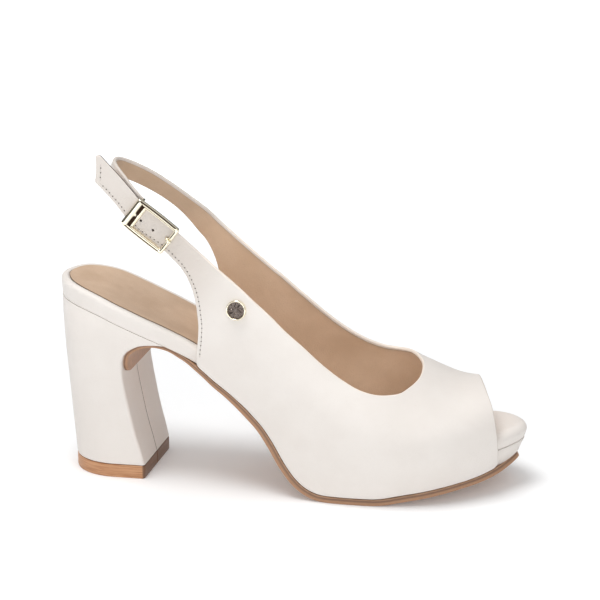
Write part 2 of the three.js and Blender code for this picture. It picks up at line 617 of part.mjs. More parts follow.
const middle = (row) => row[0].clone().add(row[COLUMNS]).multiplyScalar(0.5);

const shell = shellRows();
const buckleStrap = makeStrap(BUCKLE_STRAP.map(spacePoint), middle(shell[0]), -1);

// The sling turns behind the heel and ends under the buckle strap, against the buckle's inner bar
const SLING_STOP = BUCKLE_FROM_ROOT + BUCKLE_LENGTH / 2 - BAR_SETBACK + BAR_CLEARANCE;
function underStrap(distance) {
  const { centre, out, up } = strapFrame(buckleStrap, distance / buckleStrap.length);
  return centre.addScaledVector(out, -UPPER_WALL - LAYER_GAP).addScaledVector(up, SLING_SHOWS);
}
const slingPoints = SLING_STRAP.map(spacePoint);
for (const share of [1, 0.5, 0]) slingPoints.push(underStrap(lerp(SLING_STOP, SLING_MEETS, share)));
const sling = makeStrap(slingPoints, middle(shell[shell.length - 1]), 1);

// The upper: outer face, inner face one wall inside it, and a rim all round
function makeUpper() {
  const buckleSide = strapRows(buckleStrap, shell[0], 18, TIP_SLANT).reverse();
  const slingSide = strapRows(sling, shell[shell.length - 1], 48, 0);
  const outer = [...buckleSide, ...shell, ...slingSide];
  const rows = outer.length;
  const width = COLUMNS + 1;
  const inner = outer.map((row, r) => row.map((point, k) => {
    const ahead = outer[Math.min(r + 1, rows - 1)][k].clone().sub(outer[Math.max(r - 1, 0)][k]);
    const up = row[Math.min(k + 1, COLUMNS)].clone().sub(row[Math.max(k - 1, 0)]);
    return point.clone().addScaledVector(ahead.cross(up).normalize(), -UPPER_WALL);
  }));
  const points = [...outer, ...inner].flat();
  const index = [];
  const quad = (a, b, c, d) => {
    const shorter = points[a].distanceTo(points[c]) <= points[b].distanceTo(points[d]);
    index.push(...(shorter ? [a, b, c, a, c, d] : [a, b, d, b, c, d]));
  };
  const id = (face, r, k) => (face * rows + r) * width + k;
  for (let r = 0; r + 1 < rows; r += 1) {
    for (let k = 0; k < COLUMNS; k += 1) {
      quad(id(0, r, k), id(0, r, k + 1), id(0, r + 1, k + 1), id(0, r + 1, k));
      quad(id(1, r, k), id(1, r + 1, k), id(1, r + 1, k + 1), id(1, r, k + 1));
    }
    quad(id(0, r, 0), id(0, r + 1, 0), id(1, r + 1, 0), id(1, r, 0));
    quad(id(0, r, COLUMNS), id(1, r, COLUMNS), id(1, r + 1, COLUMNS), id(0, r + 1, COLUMNS));
  }
  for (let k = 0; k < COLUMNS; k += 1) {
    quad(id(0, 0, k), id(1, 0, k), id(1, 0, k + 1), id(0, 0, k + 1));
    quad(id(0, rows - 1, k), id(0, rows - 1, k + 1), id(1, rows - 1, k + 1), id(1, rows - 1, k));
  }
  return closedBody(points, index);
}

const wasm = await Module();
wasm.setup();

// A geometry as a manifold solid, and back
function solidOf(geometry) {
  const bare = geometry.clone();
  bare.deleteAttribute('normal');
  bare.deleteAttribute('uv');
  const merged = mergeVertices(bare);
  return new wasm.Manifold(new wasm.Mesh({
    numProp: 3,
    vertProperties: new Float32Array(merged.attributes.position.array),
    triVerts: new Uint32Array(merged.index.array),
  }));
}

function geometryOf(solid) {
  const mesh = solid.getMesh();
  const geometry = new THREE.BufferGeometry();
  geometry.setAttribute('position', new THREE.Float32BufferAttribute(mesh.vertProperties, 3));
  geometry.setIndex(Array.from(mesh.triVerts));
  return geometry;
}

// Frame of the buckle on its strap: x to the toe along the strap, y across it, z outwards, from its
// outer face
function buckleMatrix() {
  const { centre, along, out, up } = strapFrame(buckleStrap, BUCKLE_FROM_ROOT / buckleStrap.length);
  return new THREE.Matrix4().makeBasis(along.negate(), up, out).setPosition(centre);
}

const buckleSeat = buckleMatrix();
const FIRST_HOLE = (BUCKLE_LENGTH - PRONG_WIDTH) / 2 - BUCKLE_BAR;
const HOLE_PLACES = [0, 1, 2].map((i) => FIRST_HOLE - i * HOLE_PITCH);

function punchHoles(geometry) {
  let solid = solidOf(geometry);
  for (const place of HOLE_PLACES) {
    const punch = new THREE.CylinderGeometry(HOLE_DIAMETER / 2, HOLE_DIAMETER / 2, 3 * UPPER_WALL, 12);
    punch.rotateX(Math.PI / 2).translate(place, 0, -UPPER_WALL / 2).applyMatrix4(buckleSeat);
    solid = solid.subtract(solidOf(punch));
  }
  return geometryOf(solid);
}

const block = (length, width, depth, x, y, z) => solidOf(
  new THREE.BoxGeometry(length, width, depth).translate(x, y, z));

// The buckle: a window frame with a wide plate at the back, two legs and an inner bar that holds the sling
function makeBuckle() {
  const length = BUCKLE_LENGTH / 2;
  const width = BUCKLE_WIDTH / 2;
  const rim = new THREE.Shape();
  rim.absellipse(length - 1, width - 1, 1, 1, 0, Math.PI / 2);
  rim.absellipse(1 - length, width - 1, 1, 1, Math.PI / 2, Math.PI);
  rim.absellipse(1 - length, 1 - width, 1, 1, Math.PI, 1.5 * Math.PI);
  rim.absellipse(length - 1, 1 - width, 1, 1, 1.5 * Math.PI, 2 * Math.PI);
  const window = new THREE.Path();
  window.moveTo(length - BUCKLE_BAR, width - BUCKLE_BAR);
  window.lineTo(length - BUCKLE_BAR, BUCKLE_BAR - width);
  window.lineTo(BUCKLE_PLATE - length, BUCKLE_BAR - width);
  window.lineTo(BUCKLE_PLATE - length, width - BUCKLE_BAR);
  rim.holes.push(window);
  const frame = new THREE.ExtrudeGeometry(rim, {
    depth: BUCKLE_DEPTH, bevelEnabled: false, curveSegments: 3,
  });
  frame.translate(0, 0, SEAM_GAP);
  const barX = BAR_SETBACK + BAR_SIZE / 2 - length;
  const barZ = -UPPER_WALL - LAYER_GAP - BAR_SIZE / 2;
  const legWidth = width - STRAP_WIDTH / 2 - SLING_SHOWS - SEAM_GAP;
  let solid = solidOf(frame);
  for (const side of [-1, 1]) {
    const legY = side * (width - legWidth / 2);
    solid = solid.add(block(BAR_SIZE, legWidth, SEAM_GAP + 0.5 - barZ + BAR_SIZE / 2, barX, legY,
      (SEAM_GAP + 0.5 + barZ - BAR_SIZE / 2) / 2));
  }
  solid = solid.add(block(BAR_SIZE, BUCKLE_WIDTH - 1, BAR_SIZE, barX, 0, barZ));
  const groove = block(BUCKLE_BAR + 2, PRONG_WIDTH + 2 * SEAM_GAP, BUCKLE_DEPTH, length - BUCKLE_BAR / 2, 0,
    SEAM_GAP + BUCKLE_DEPTH - PRONG_DEPTH / 2 - SEAM_GAP + BUCKLE_DEPTH / 2);
  return geometryOf(solid.subtract(groove)).applyMatrix4(buckleSeat);
}

// The prong runs under the strap from the inner bar, comes up through the first hole and lies in the
// front bar
function makeProng() {
  const rise = HOLE_PLACES[0];
  const low = -UPPER_WALL - SEAM_GAP;
  const high = SEAM_GAP + BUCKLE_DEPTH - PRONG_DEPTH / 2;
  const start = BAR_SETBACK + BAR_SIZE + SEAM_GAP - BUCKLE_LENGTH / 2;
  const half = PRONG_DEPTH / 2;
  const tip = BUCKLE_LENGTH / 2 + PRONG_OVERHANG;
  const profile = new THREE.Shape([
    [start, low - PRONG_DEPTH], [rise + half, low - PRONG_DEPTH], [rise + half, high],
    [tip, high], [tip, high + half], [tip - half, high + PRONG_DEPTH],
    [rise - half, high + PRONG_DEPTH], [rise - half, low], [start, low],
  ].map(([x, z]) => new THREE.Vector2(x, z)));
  const prong = new THREE.ExtrudeGeometry(profile, { depth: PRONG_WIDTH, bevelEnabled: false });
  return prong.rotateX(Math.PI / 2).translate(0, PRONG_WIDTH / 2, 0).applyMatrix4(buckleSeat);
}

// Frame of the stud on the outer quarter
function studMatrix() {
  const [along, girth] = [STUD_ALONG, STUD_GIRTH];
  const step = 0.004;
  const x = surfacePoint(along + step, girth).sub(surfacePoint(along - step, girth)).normalize();
  const up = surfacePoint(along, girth + step).sub(surfacePoint(along, girth - step)).normalize();
  const z = new THREE.Vector3().crossVectors(x, up).normalize();
  const y = new THREE.Vector3().crossVectors(z, x);
  return new THREE.Matrix4().makeBasis(x, y, z).setPosition(surfacePoint(along, girth));
}

const lathe = (profile, sides = 24) => new THREE.LatheGeometry(
  profile.map(([r, z]) => new THREE.Vector2(r, z)), sides).rotateX(Math.PI / 2).applyMatrix4(studMatrix());

function makeStudRim() {
  const outer = STUD_DIAMETER / 2;
  const inner = outer - STUD_RIM;
  return lathe([[inner, SEAM_GAP], [outer, SEAM_GAP], [outer, STUD_HEIGHT - 0.4], [outer - 0.4, STUD_HEIGHT],
    [inner, STUD_HEIGHT], [inner, SEAM_GAP]]);
}

function makeStudDisc() {
  const radius = STUD_DIAMETER / 2 - STUD_RIM - SEAM_GAP;
  return lathe([
    [0, SEAM_GAP], [radius, SEAM_GAP], [radius, STUD_HEIGHT - 0.7], [radius / 2, STUD_HEIGHT - 0.3],
    [0, STUD_HEIGHT - 0.2],
  ]);
}

const finish = {
  leather: { color: 0xe9e3dd, roughness: 0.5, metalness: 0 },
  sock: { color: 0xc9ab8c, roughness: 0.7, metalness: 0 },
  sole: { color: 0x9c7358, roughness: 0.6, metalness: 0 },
  tip: { color: 0xc08a60, roughness: 0.5, metalness: 0 },
  gold: { color: 0xd9c79a, roughness: 0.25, metalness: 1 },
  pewter: { color: 0x77706a, roughness: 0.4, metalness: 1 },
};

function piece(name, geometry, look) {
  const mesh = new THREE.Mesh(geometry, new THREE.MeshStandardMaterial(finish[look]));
  mesh.name = name;
  return mesh;
}

const sandal = new THREE.Group();
sandal.add(piece('outsole', makeOutsole(), 'sole'));
sandal.add(piece('platform', makePlatform(), 'leather'));
sandal.add(piece('insole_board', makeBoard(), 'leather'));
sandal.add(piece('insole_sock', makeSock(), 'sock'));
sandal.add(piece('heel', makeHeel(), 'leather'));
sandal.add(piece('top_piece', makeTopPiece(), 'tip'));
sandal.add(piece('upper', punchHoles(makeUpper()), 'leather'));
sandal.add(piece('buckle_frame', makeBuckle(), 'gold'));
sandal.add(piece('buckle_prong', makeProng(), 'gold'));
sandal.add(piece('stud_rim', makeStudRim(), 'gold'));
sandal.add(piece('stud_disc', makeStudDisc(), 'pewter'));

export default sandal;
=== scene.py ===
import math

import bmesh
import bpy
import numpy as np
from mathutils import Matrix, Vector


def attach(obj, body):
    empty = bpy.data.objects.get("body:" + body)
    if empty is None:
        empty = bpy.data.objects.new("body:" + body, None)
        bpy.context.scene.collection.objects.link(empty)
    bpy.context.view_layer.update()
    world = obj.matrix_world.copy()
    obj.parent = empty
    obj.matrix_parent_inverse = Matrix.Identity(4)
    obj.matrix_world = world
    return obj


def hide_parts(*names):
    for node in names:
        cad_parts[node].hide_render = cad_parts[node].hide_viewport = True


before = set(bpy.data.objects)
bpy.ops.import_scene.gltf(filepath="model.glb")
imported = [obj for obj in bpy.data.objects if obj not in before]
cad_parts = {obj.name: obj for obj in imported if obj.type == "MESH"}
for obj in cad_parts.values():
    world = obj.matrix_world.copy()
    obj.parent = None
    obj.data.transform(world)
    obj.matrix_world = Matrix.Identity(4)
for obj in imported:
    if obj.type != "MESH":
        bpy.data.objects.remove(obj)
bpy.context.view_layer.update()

# The right shoe of a pair of peep toe slingback sandals. Lengths here are millimetres, as on the last,
# and MM turns them into the frame's metres. +X runs to the toe, +Y to the inner side, +Z up.
MM = 0.001

# Last
SHOE_LENGTH = 221
BALL_WIDTH = 76
SEAT_HEIGHT = 93
TREAD_HEIGHT = 23.6
INSTEP_HEIGHT = 89
TOE_SPRING = 13.6
TOE_LIFT = 3.8
HEEL_SETBACK = 25.5

# Walls and layers
UPPER_WALL = 1.8
LINING = 0.25
LINING_MARGIN = 1.5
LINING_LOW_MARGIN = 0.35
OUTSOLE_FOREFOOT = 3
OUTSOLE_WAIST = 1.8
BOARD_SEAT = 8.3
BOARD_TOE = 6.3
BOARD_ROUNDING = 2.2
TOE_ROUNDING = 4.3
TOE_DROP = 4.1
TOE_RISE = 3.2
SEAT_EXTRA = 1.1
SEAT_RISE = 1.2
SEAT_DISH = 0.9
SOCK_THICKNESS = 1
SOCK_INSET = 3.5
SOCK_REACH = 0.6
SOCK_SUNK = 0.8
SEAM_GAP = 0.3
SOLE_EDGE = -0.3
WAIST_INSET = 0.8
TOE_INSET = 4.7
BULGE = 2.2
WAISTLINE = 11
TUCK = 3.8
PLATFORM_STARTS = 1.2
SOLE_SHORT = 0.02

# Heel
TIP_WIDTH = 43
TIP_DEPTH = 38.5
TIP_HEIGHT = 6.3
TIP_CHAMFER = 0.6
HEEL_INSET = 0.35
BREAST_TWIST = 2.2
TONGUE_WIDTH = 46
TONGUE_LEVEL = 0.668
TONGUE_CORNER = 6
LIP_REACH = 0.25

# Straps and hardware
STRAP_WIDTH = 10.9
SLING_RISE = 54
LAYER_GAP = 0.4
TIP_SLANT = math.radians(45)
TIP_HOLLOW = 0.9
TIP_CUT = 0.66
BUCKLE_LENGTH = 23.6
BUCKLE_WIDTH = 14.8
BUCKLE_BAR = 2
BUCKLE_PLATE = 5.8
BUCKLE_DEPTH = 2
BUCKLE_FROM_ROOT = 24.7
BUCKLE_SAG = 2.1
SAG_MIDDLE = 3
SAG_TO_TIP = 7
SAG_TO_ROOT = 10
SAG_EASE = 1.1
BUCKLE_TURN = math.radians(3)
BAR_SETBACK = 1.6
BAR_SIZE = 1.2
BAR_CLEARANCE = 1.3
LEG_WIDTH = 0.8
LEG_TOP = 0.6
SLING_MEETS = 40.5
SLING_SHOWS = 1
PRONG_WIDTH = 1.3
PRONG_DEPTH = 1.1
PRONG_OVERHANG = 0.4
HOLE_DIAMETER = 1.35
HOLE_PITCH = 7
STUD_DIAMETER = 9.3
STUD_HEIGHT = 1.8
STUD_RIM = 0.75
STUD_ALONG = 0.41
STUD_GIRTH = 0.217

# Stitching
STITCH_PITCH = 2.1
STITCH_INSET = 1.7
THREAD = 0.42

# The upper's grid: columns from its outer edge to the throat, crowded towards that edge, and how many
# rows stand for one row of the tables
COLUMNS = 36
EDGE_CROWDING = 1.35
FINE = 5

UP = np.array([0.0, 0.0, 1.0])


def table(names, *rows):
    """A table with named columns: one array for each name."""
    return dict(zip(names.split(), np.array(rows, float).T))


# Outline of the insole board, anticlockwise from the back: share of the length, share of the ball width
OUTLINE = table(
    "along across",
    (0, 0.02), (0.018, -0.15), (0.055, -0.26), (0.113, -0.325), (0.19, -0.345), (0.317, -0.355),
    (0.42, -0.385), (0.52, -0.44), (0.61, -0.49), (0.69, -0.5), (0.76, -0.475), (0.83, -0.41),
    (0.9, -0.275), (0.95, -0.14), (0.985, -0.02), (1, 0.1), (0.985, 0.22), (0.95, 0.335),
    (0.9, 0.425), (0.83, 0.49), (0.76, 0.5), (0.69, 0.455), (0.61, 0.375), (0.52, 0.3),
    (0.42, 0.27), (0.317, 0.295), (0.19, 0.345), (0.113, 0.345), (0.055, 0.29), (0.018, 0.19),
)

# Top of the insole: share of the drop from seat to tread, and share of the toe lift
BED = table(
    "along drop lift",
    (0, 0, 0), (0.045, 0.01, 0), (0.1, 0.046, 0), (0.15, 0.111, 0), (0.2, 0.177, 0), (0.25, 0.242, 0),
    (0.3, 0.314, 0), (0.35, 0.399, 0), (0.4, 0.493, 0), (0.45, 0.595, 0), (0.5, 0.702, 0),
    (0.55, 0.8, 0), (0.6, 0.882, 0), (0.65, 0.942, 0), (0.7, 0.98, 0), (0.75, 0.997, 0), (0.8, 1, 0),
    (0.85, 1, 0.13), (0.9, 1, 0.37), (0.95, 1, 0.63), (1, 1, 1),
)

# Underside of the outsole: how far it is pressed from the insole's own line to the floor, share of the
# toe spring, share of the way from the waist thickness to the forefoot thickness, and where the upper
# covers its edge
UNDERSIDE = table(
    "along press spring thick cover",
    (0.27, 0, 0, 0, 0), (0.29, 0, 0, 0, 0.2), (0.325, 0.022, 0, 0.2, 1), (0.35, 0.057, 0, 0.4, 1),
    (0.39, 0.099, 0, 0.7, 1), (0.435, 0.185, 0, 1, 1), (0.46, 0.27, 0, 1, 1), (0.48, 0.395, 0, 1, 1),
    (0.5, 0.558, 0, 1, 1), (0.522, 0.724, 0, 1, 1), (0.545, 0.858, 0, 1, 1), (0.567, 0.943, 0, 1, 1),
    (0.59, 0.993, 0, 1, 1), (0.61, 1, 0, 1, 1), (0.7, 1, 0, 1, 1), (0.72, 1, 0.025, 1, 1),
    (0.76, 1, 0.14, 1, 1), (0.8, 1, 0.24, 1, 1), (0.84, 1, 0.34, 1, 1), (0.88, 1, 0.435, 1, 1),
    (0.92, 1, 0.55, 1, 1), (0.95, 1, 0.69, 1, 0.9), (0.98, 1, 0.9, 1, 0.3), (1, 1, 1.08, 1, 0),
)

# Sections of the upper: shares of the bulge beyond the board, of the height of its widest line, of the
# instep height, place of the instep as a share of the ball width, roundness to either side, and share
# of the tuck by which the bottom edge goes in under the board
SECTIONS = table(
    "along bulge waist instep ridge outer inner tuck",
    (0.22, 0.23, 0.55, 1.115, 0, 2.6, 2.6, 0.13), (0.3, 0.23, 0.73, 1.043, 0, 2.6, 2.6, 0.13),
    (0.38, 0.36, 0.91, 0.917, 0, 2.5, 2.5, 0.13), (0.46, 0.55, 1, 0.772, 0, 2.4, 2.35, 0.21),
    (0.54, 0.73, 0.91, 0.643, 0.007, 2.25, 2.2, 0.42), (0.62, 0.91, 0.77, 0.53, 0.02, 2.1, 2.15, 0.63),
    (0.7, 1, 0.68, 0.468, 0.039, 2.05, 2.1, 0.74), (0.78, 1, 0.64, 0.368, 0.059, 2.05, 2.1, 0.79),
    (0.86, 0.91, 0.64, 0.282, 0.072, 2.1, 2.15, 0.84), (0.93, 0.82, 0.64, 0.27, 0.086, 2.15, 2.15, 0.92),
    (1, 0.73, 0.64, 0.22, 0.1, 2.2, 2.2, 1),
)

# Edges of the upper as shares of the length and of the girth, which runs from the outer bottom edge
# over the instep to the inner one. The throat goes from the buckle strap round the front to the sling.
THROAT = table(
    "along girth",
    (0.332, 0.255), (0.3747, 0.2624), (0.4134, 0.2727), (0.4571, 0.2868), (0.4994, 0.3082),
    (0.545, 0.3252), (0.5879, 0.3222), (0.6307, 0.3105), (0.6725, 0.2967), (0.7049, 0.2973),
    (0.7311, 0.3087), (0.7489, 0.323), (0.7639, 0.3539), (0.7749, 0.3916), (0.7807, 0.4336),
    (0.7812, 0.4822), (0.7758, 0.5396), (0.7625, 0.588), (0.7477, 0.626), (0.731, 0.655),
    (0.7105, 0.678), (0.683, 0.6915), (0.6517, 0.6885), (0.6105, 0.6781), (0.5685, 0.6716),
    (0.5258, 0.6742), (0.4792, 0.6975), (0.4342, 0.7166), (0.3918, 0.7287), (0.3405, 0.7392),
)
QUARTER_BACK = table(
    "along girth",
    (0.2955, 0.1892), (0.3053, 0.1797), (0.3125, 0.1704), (0.3182, 0.1592), (0.3216, 0.1458),
    (0.324, 0.1245), (0.327, 0.096), (0.325, 0.0585), (0.3222, 0.03), (0.3205, 0),
)
QUARTER_BACK_INNER = {
    "along": QUARTER_BACK["along"][::-1],
    "girth": 1 - QUARTER_BACK["girth"][::-1],
}
OUTER_BOTTOM = table("along girth", (0.3205, 0), (0.9475, 0))
INNER_BOTTOM = table("along girth", (0.888, 1), (0.3205, 1))
PEEP_EDGE = table(
    "along girth",
    (0.9475, 0), (0.9498, 0.0764), (0.9495, 0.134), (0.9478, 0.1814), (0.9448, 0.228), (0.9409, 0.2664),
    (0.9349, 0.311), (0.9292, 0.3436), (0.9227, 0.379), (0.9161, 0.4235), (0.9089, 0.4757),
    (0.901, 0.5391), (0.8925, 0.61), (0.8845, 0.68), (0.88, 0.75), (0.8805, 0.82), (0.885, 0.9),
    (0.888, 1),
)

# Stretches of the upper's outer edge, with the stretch of throat that each faces, as shares of the
# throat's length, and its rows
STRETCHES = (
    (QUARTER_BACK, 0, 0.12, 8),
    (OUTER_BOTTOM, 0.12, 0.43, 24),
    (PEEP_EDGE, 0.43, 0.57, 16),
    (INNER_BOTTOM, 0.57, 0.88, 24),
    (QUARTER_BACK_INNER, 0.88, 1, 8),
)

# Centre lines of the two straps: shares of the length, the ball width and the rise of the sling above
# the seat, width as a share of the strap's, and how far the upper edge leans in
BUCKLE_STRAP = table(
    "along across rise width lean",
    (0.315, -0.375, 0.33, 0.95, 0), (0.295, -0.375, 0.3991, 0.955, 0), (0.2729, -0.375, 0.4808, 0.955, 0),
    (0.251, -0.375, 0.5543, 0.949, 0), (0.2305, -0.376, 0.6264, 0.941, 0),
    (0.2096, -0.378, 0.6973, 0.935, 0), (0.1903, -0.38, 0.7701, 0.934, 0),
    (0.1697, -0.383, 0.8698, 0.942, 0), (0.1483, -0.386, 0.9691, 0.961, 0),
    (0.1158, -0.389, 1.111, 0.984, 0),
)
SLING_STRAP = table(
    "along across rise width lean",
    (0.335, 0.3, 0.229, 0.95, 0), (0.314, 0.295, 0.322, 0.85, 0.1), (0.293, 0.282, 0.4306, 0.774, 0.19),
    (0.273, 0.271, 0.52, 0.74, 0.25), (0.252, 0.258, 0.6023, 0.75, 0.29),
    (0.233, 0.238, 0.671, 0.78, 0.32), (0.214, 0.213, 0.7376, 0.81, 0.34),
    (0.193, 0.188, 0.7999, 0.832, 0.37), (0.174, 0.149, 0.8623, 0.853, 0.4),
    (0.1398, 0.071, 0.955, 0.881, 0.42), (0.126, 0.016, 0.9882, 0.909, 0.42),
    (0.1197, -0.053, 1.0114, 0.935, 0.42), (0.1214, -0.126, 1.0114, 0.95, 0.4),
    (0.1279, -0.192, 1.0114, 0.95, 0.35), (0.1366, -0.25, 1.0157, 0.95, 0.25),
    (0.1436, -0.3, 1.0129, 0.95, 0.12),
)
BUCKLE_STRAP_ROWS = 18
SLING_ROWS = 48

# Block heel, from tip to seat: share of the height, breast moved back as a share of the tip's depth,
# share of the way to the lip under the waist, and share of the way from the tip's outline to the seat's
HEEL = table(
    "level lean flare spread",
    (0, 0, 0, 0), (0.11, -0.042, 0, 0.12), (0.215, -0.09, 0, 0.24), (0.32, -0.132, 0, 0.35),
    (0.45, -0.177, 0, 0.49), (0.55, -0.21, 0, 0.59), (0.63, -0.231, 0, 0.67), (0.73, -0.236, 0, 0.76),
    (0.77, -0.236, 0.01, 0.8), (0.8, -0.236, 0.036, 0.83), (0.83, -0.236, 0.095, 0.86),
    (0.86, -0.236, 0.18, 0.89), (0.89, -0.236, 0.285, 0.92), (0.92, -0.236, 0.41, 0.95),
    (0.95, -0.236, 0.6, 0.97), (0.98, -0.236, 0.83, 0.99), (1, -0.236, 1, 1),
)


# Plain geometry
def at(share):
    return np.asarray(share) * SHOE_LENGTH - HEEL_SETBACK


def share_at(x):
    return (np.asarray(x) + HEEL_SETBACK) / SHOE_LENGTH


def lerp(a, b, t):
    return a + (b - a) * t


def smooth(value, low, high):
    t = np.clip((value - low) / (high - low), 0, 1)
    return t * t * (3 - 2 * t)


def unit(vectors):
    length = np.linalg.norm(vectors, axis=-1, keepdims=True)
    return vectors / np.maximum(length, 1e-12)


def column(rows, name, key="along"):
    """A smooth function through a table's column, with slopes taken from the neighbouring rows."""
    x, y = rows[key], rows[name]
    step = np.diff(x)
    rate = np.diff(y) / step
    inside = (rate[:-1] * step[1:] + rate[1:] * step[:-1]) / (step[:-1] + step[1:])
    slope = np.concatenate([rate[:1], inside, rate[-1:]])

    def value(v):
        v = np.clip(v, x[0], x[-1])
        i = np.clip(np.searchsorted(x, v) - 1, 0, len(x) - 2)
        h = step[i]
        t = (v - x[i]) / h
        rise = (1 + 2 * t) * (1 - t) ** 2 * y[i] + t * t * (3 - 2 * t) * y[i + 1]
        return rise + t * (1 - t) ** 2 * h * slope[i] + t * t * (t - 1) * h * slope[i + 1]

    return value


SPLINE_STEPS = 120


def catmull(points, closed=False, fine=SPLINE_STEPS):
    """A dense polyline through points: centripetal where it is open, and even where it is closed."""
    points = np.asarray(points, float)
    if closed:
        padded = np.concatenate([points[-1:], points, points[:2]])
    else:
        padded = np.concatenate([[2 * points[0] - points[1]], points, [2 * points[-1] - points[-2]]])
    before, start, stop, after = (padded[i:len(padded) - 3 + i] for i in range(4))
    if closed:
        leave, arrive = (stop - before) / 2, (after - start) / 2
    else:
        gap = np.sqrt(np.linalg.norm(np.diff(padded, axis=0), axis=1))[:, None]
        g0, g1, g2 = gap[:-2], gap[1:-1], gap[2:]
        leave = ((start - before) / g0 - (stop - before) / (g0 + g1) + (stop - start) / g1) * g1
        arrive = ((stop - start) / g1 - (after - start) / (g1 + g2) + (after - stop) / g2) * g1
    t = (np.arange(fine) / fine)[None, :, None]
    start, stop, leave, arrive = (part[:, None] for part in (start, stop, leave, arrive))
    line = (1 + 2 * t) * (1 - t) ** 2 * start + t * t * (3 - 2 * t) * stop
    line = line + t * (1 - t) ** 2 * leave + t * t * (t - 1) * arrive
    line = line.reshape(-1, points.shape[1])
    return line if closed else np.concatenate([line, points[-1:]])


class Line:
    """A curve kept as a dense polyline and read by shares of its length."""

    def __init__(self, dense, normal=None):
        self.dense = np.asarray(dense, float)
        self.normal = normal
        steps = np.linalg.norm(np.diff(self.dense, axis=0), axis=1)
        self.length = steps.sum()
        self.share = np.concatenate([[0], np.cumsum(steps)]) / self.length
        self.slope = np.gradient(self.dense, axis=0)

    def read(self, values, share):
        return np.stack([np.interp(share, self.share, part) for part in values.T], -1)

    def point(self, share):
        return self.read(self.dense, share)

    def ahead(self, share):
        return unit(self.read(self.slope, share))

    def out(self, share):
        return unit(self.read(self.normal, share))


def row_lengths(rows):
    """The distance along each row of points, up to each of its points."""
    steps = np.linalg.norm(np.diff(rows, axis=1), axis=2)
    return np.concatenate([np.zeros((len(rows), 1)), np.cumsum(steps, 1)], 1)


def peak(value, place, width):
    """A bell curve: 1 at a place, and fading over a width to either side of it."""
    return np.exp(-((value - place) / width) ** 2)


def circle(sides, across, along, z):
    """Points round an oval with these two radii, at a height."""
    turns = np.linspace(0, 2 * math.pi, sides, endpoint=False)
    return np.stack([np.cos(turns) * across, np.sin(turns) * along, np.full(sides, z)], 1)


# Levels of the sole at a place X
bed_drop = column(BED, "drop")
bed_lift = column(BED, "lift")
press = column(UNDERSIDE, "press")
spring = column(UNDERSIDE, "spring")
thick = column(UNDERSIDE, "thick")
cover = column(UNDERSIDE, "cover")
tuck_share = column(SECTIONS, "tuck")


def tuck(share):
    return TUCK * tuck_share(share)


def bed(x):
    share = share_at(x)
    return SEAT_HEIGHT - (SEAT_HEIGHT - TREAD_HEIGHT) * bed_drop(share) + TOE_LIFT * bed_lift(share)


def slope_factor(level, x):
    return np.hypot(1, (level(x + 1) - level(x - 1)) / 2)


def board_depth(x):
    return lerp(BOARD_SEAT, BOARD_TOE, smooth(share_at(x), 0.4, 0.9))


def board_bottom(x):
    return bed(x) - board_depth(x)


def seat_lift(x):
    """How far the seat turns up at its back."""
    return SEAT_RISE * (1 - smooth(share_at(x), 0, 0.11))


def board_top(x):
    return bed(x) + seat_lift(x) + TOE_RISE * smooth(share_at(x), 0.82, 0.97)


def board_low(x):
    """The board's underside: deeper at the back of the seat, and raised at the toe."""
    share = share_at(x)
    deeper = SEAT_EXTRA * (1 - np.clip(share / 0.27, 0, 1))
    return board_bottom(x) + seat_lift(x) - deeper + TOE_RISE / 2 * smooth(share, 0.82, 0.97)


def outsole_depth(x):
    return lerp(OUTSOLE_WAIST, OUTSOLE_FOREFOOT, thick(share_at(x)))


def underside(x):
    share = share_at(x)
    waist = bed(x) - BOARD_SEAT - (SEAM_GAP + OUTSOLE_WAIST) * slope_factor(bed, x)
    return waist * (1 - np.minimum(press(share), 1)) + TOE_SPRING * np.maximum(spring(share), 0)


def outsole_top(x):
    return underside(x) + outsole_depth(x) * slope_factor(underside, x)


def sole_inset(share):
    """The outsole's edge follows the upper where that comes down on it, and lies inside the board
    elsewhere."""
    free = lerp(WAIST_INSET, TOE_INSET, smooth(share, 0.3, 0.9))
    return lerp(free, tuck(share) - SEAM_GAP - UPPER_WALL - SOLE_EDGE, cover(share))


class Outline:
    """The board's outline moved inwards by an inset that may vary along the foot."""

    base = catmull(np.stack([at(OUTLINE["along"]), OUTLINE["across"] * BALL_WIDTH], 1), closed=True)
    run = unit(np.roll(base, -1, 0) - np.roll(base, 1, 0))

    def __init__(self, inset):
        move = np.broadcast_to(inset(share_at(self.base[:, 0])), len(self.base))[:, None]
        self.ring = self.base + np.stack([-self.run[:, 1], self.run[:, 0]], 1) * move
        back, toe = self.ring[:, 0].argmin(), self.ring[:, 0].argmax()
        self.back, self.toe = self.ring[back, 0], self.ring[toe, 0]
        self.sides = [self.walk(back, toe, step) for step in (1, -1)]

    def walk(self, back, toe, step):
        count = len(self.ring)
        steps = (toe - back) * step % count
        side = self.ring[(back + step * np.arange(steps + 1)) % count]
        rising = side[:, 0] >= np.maximum.accumulate(side[:, 0])
        return side[rising]

    def outer(self, x):
        return np.interp(x, *self.sides[0].T)

    def inner(self, x):
        return np.interp(x, *self.sides[1].T)


# Sections of the upper's outer face
bulge = column(SECTIONS, "bulge")
waistline = column(SECTIONS, "waist")
instep = column(SECTIONS, "instep")
ridge = column(SECTIONS, "ridge")
outer_round = column(SECTIONS, "outer")
inner_round = column(SECTIONS, "inner")
wall_out = SEAM_GAP + UPPER_WALL
board_sides = Outline(lambda share: -wall_out)
tucked_sides = Outline(lambda share: tuck(share) - wall_out)
RISE_STEPS = 48
ROOF_STEPS = 144


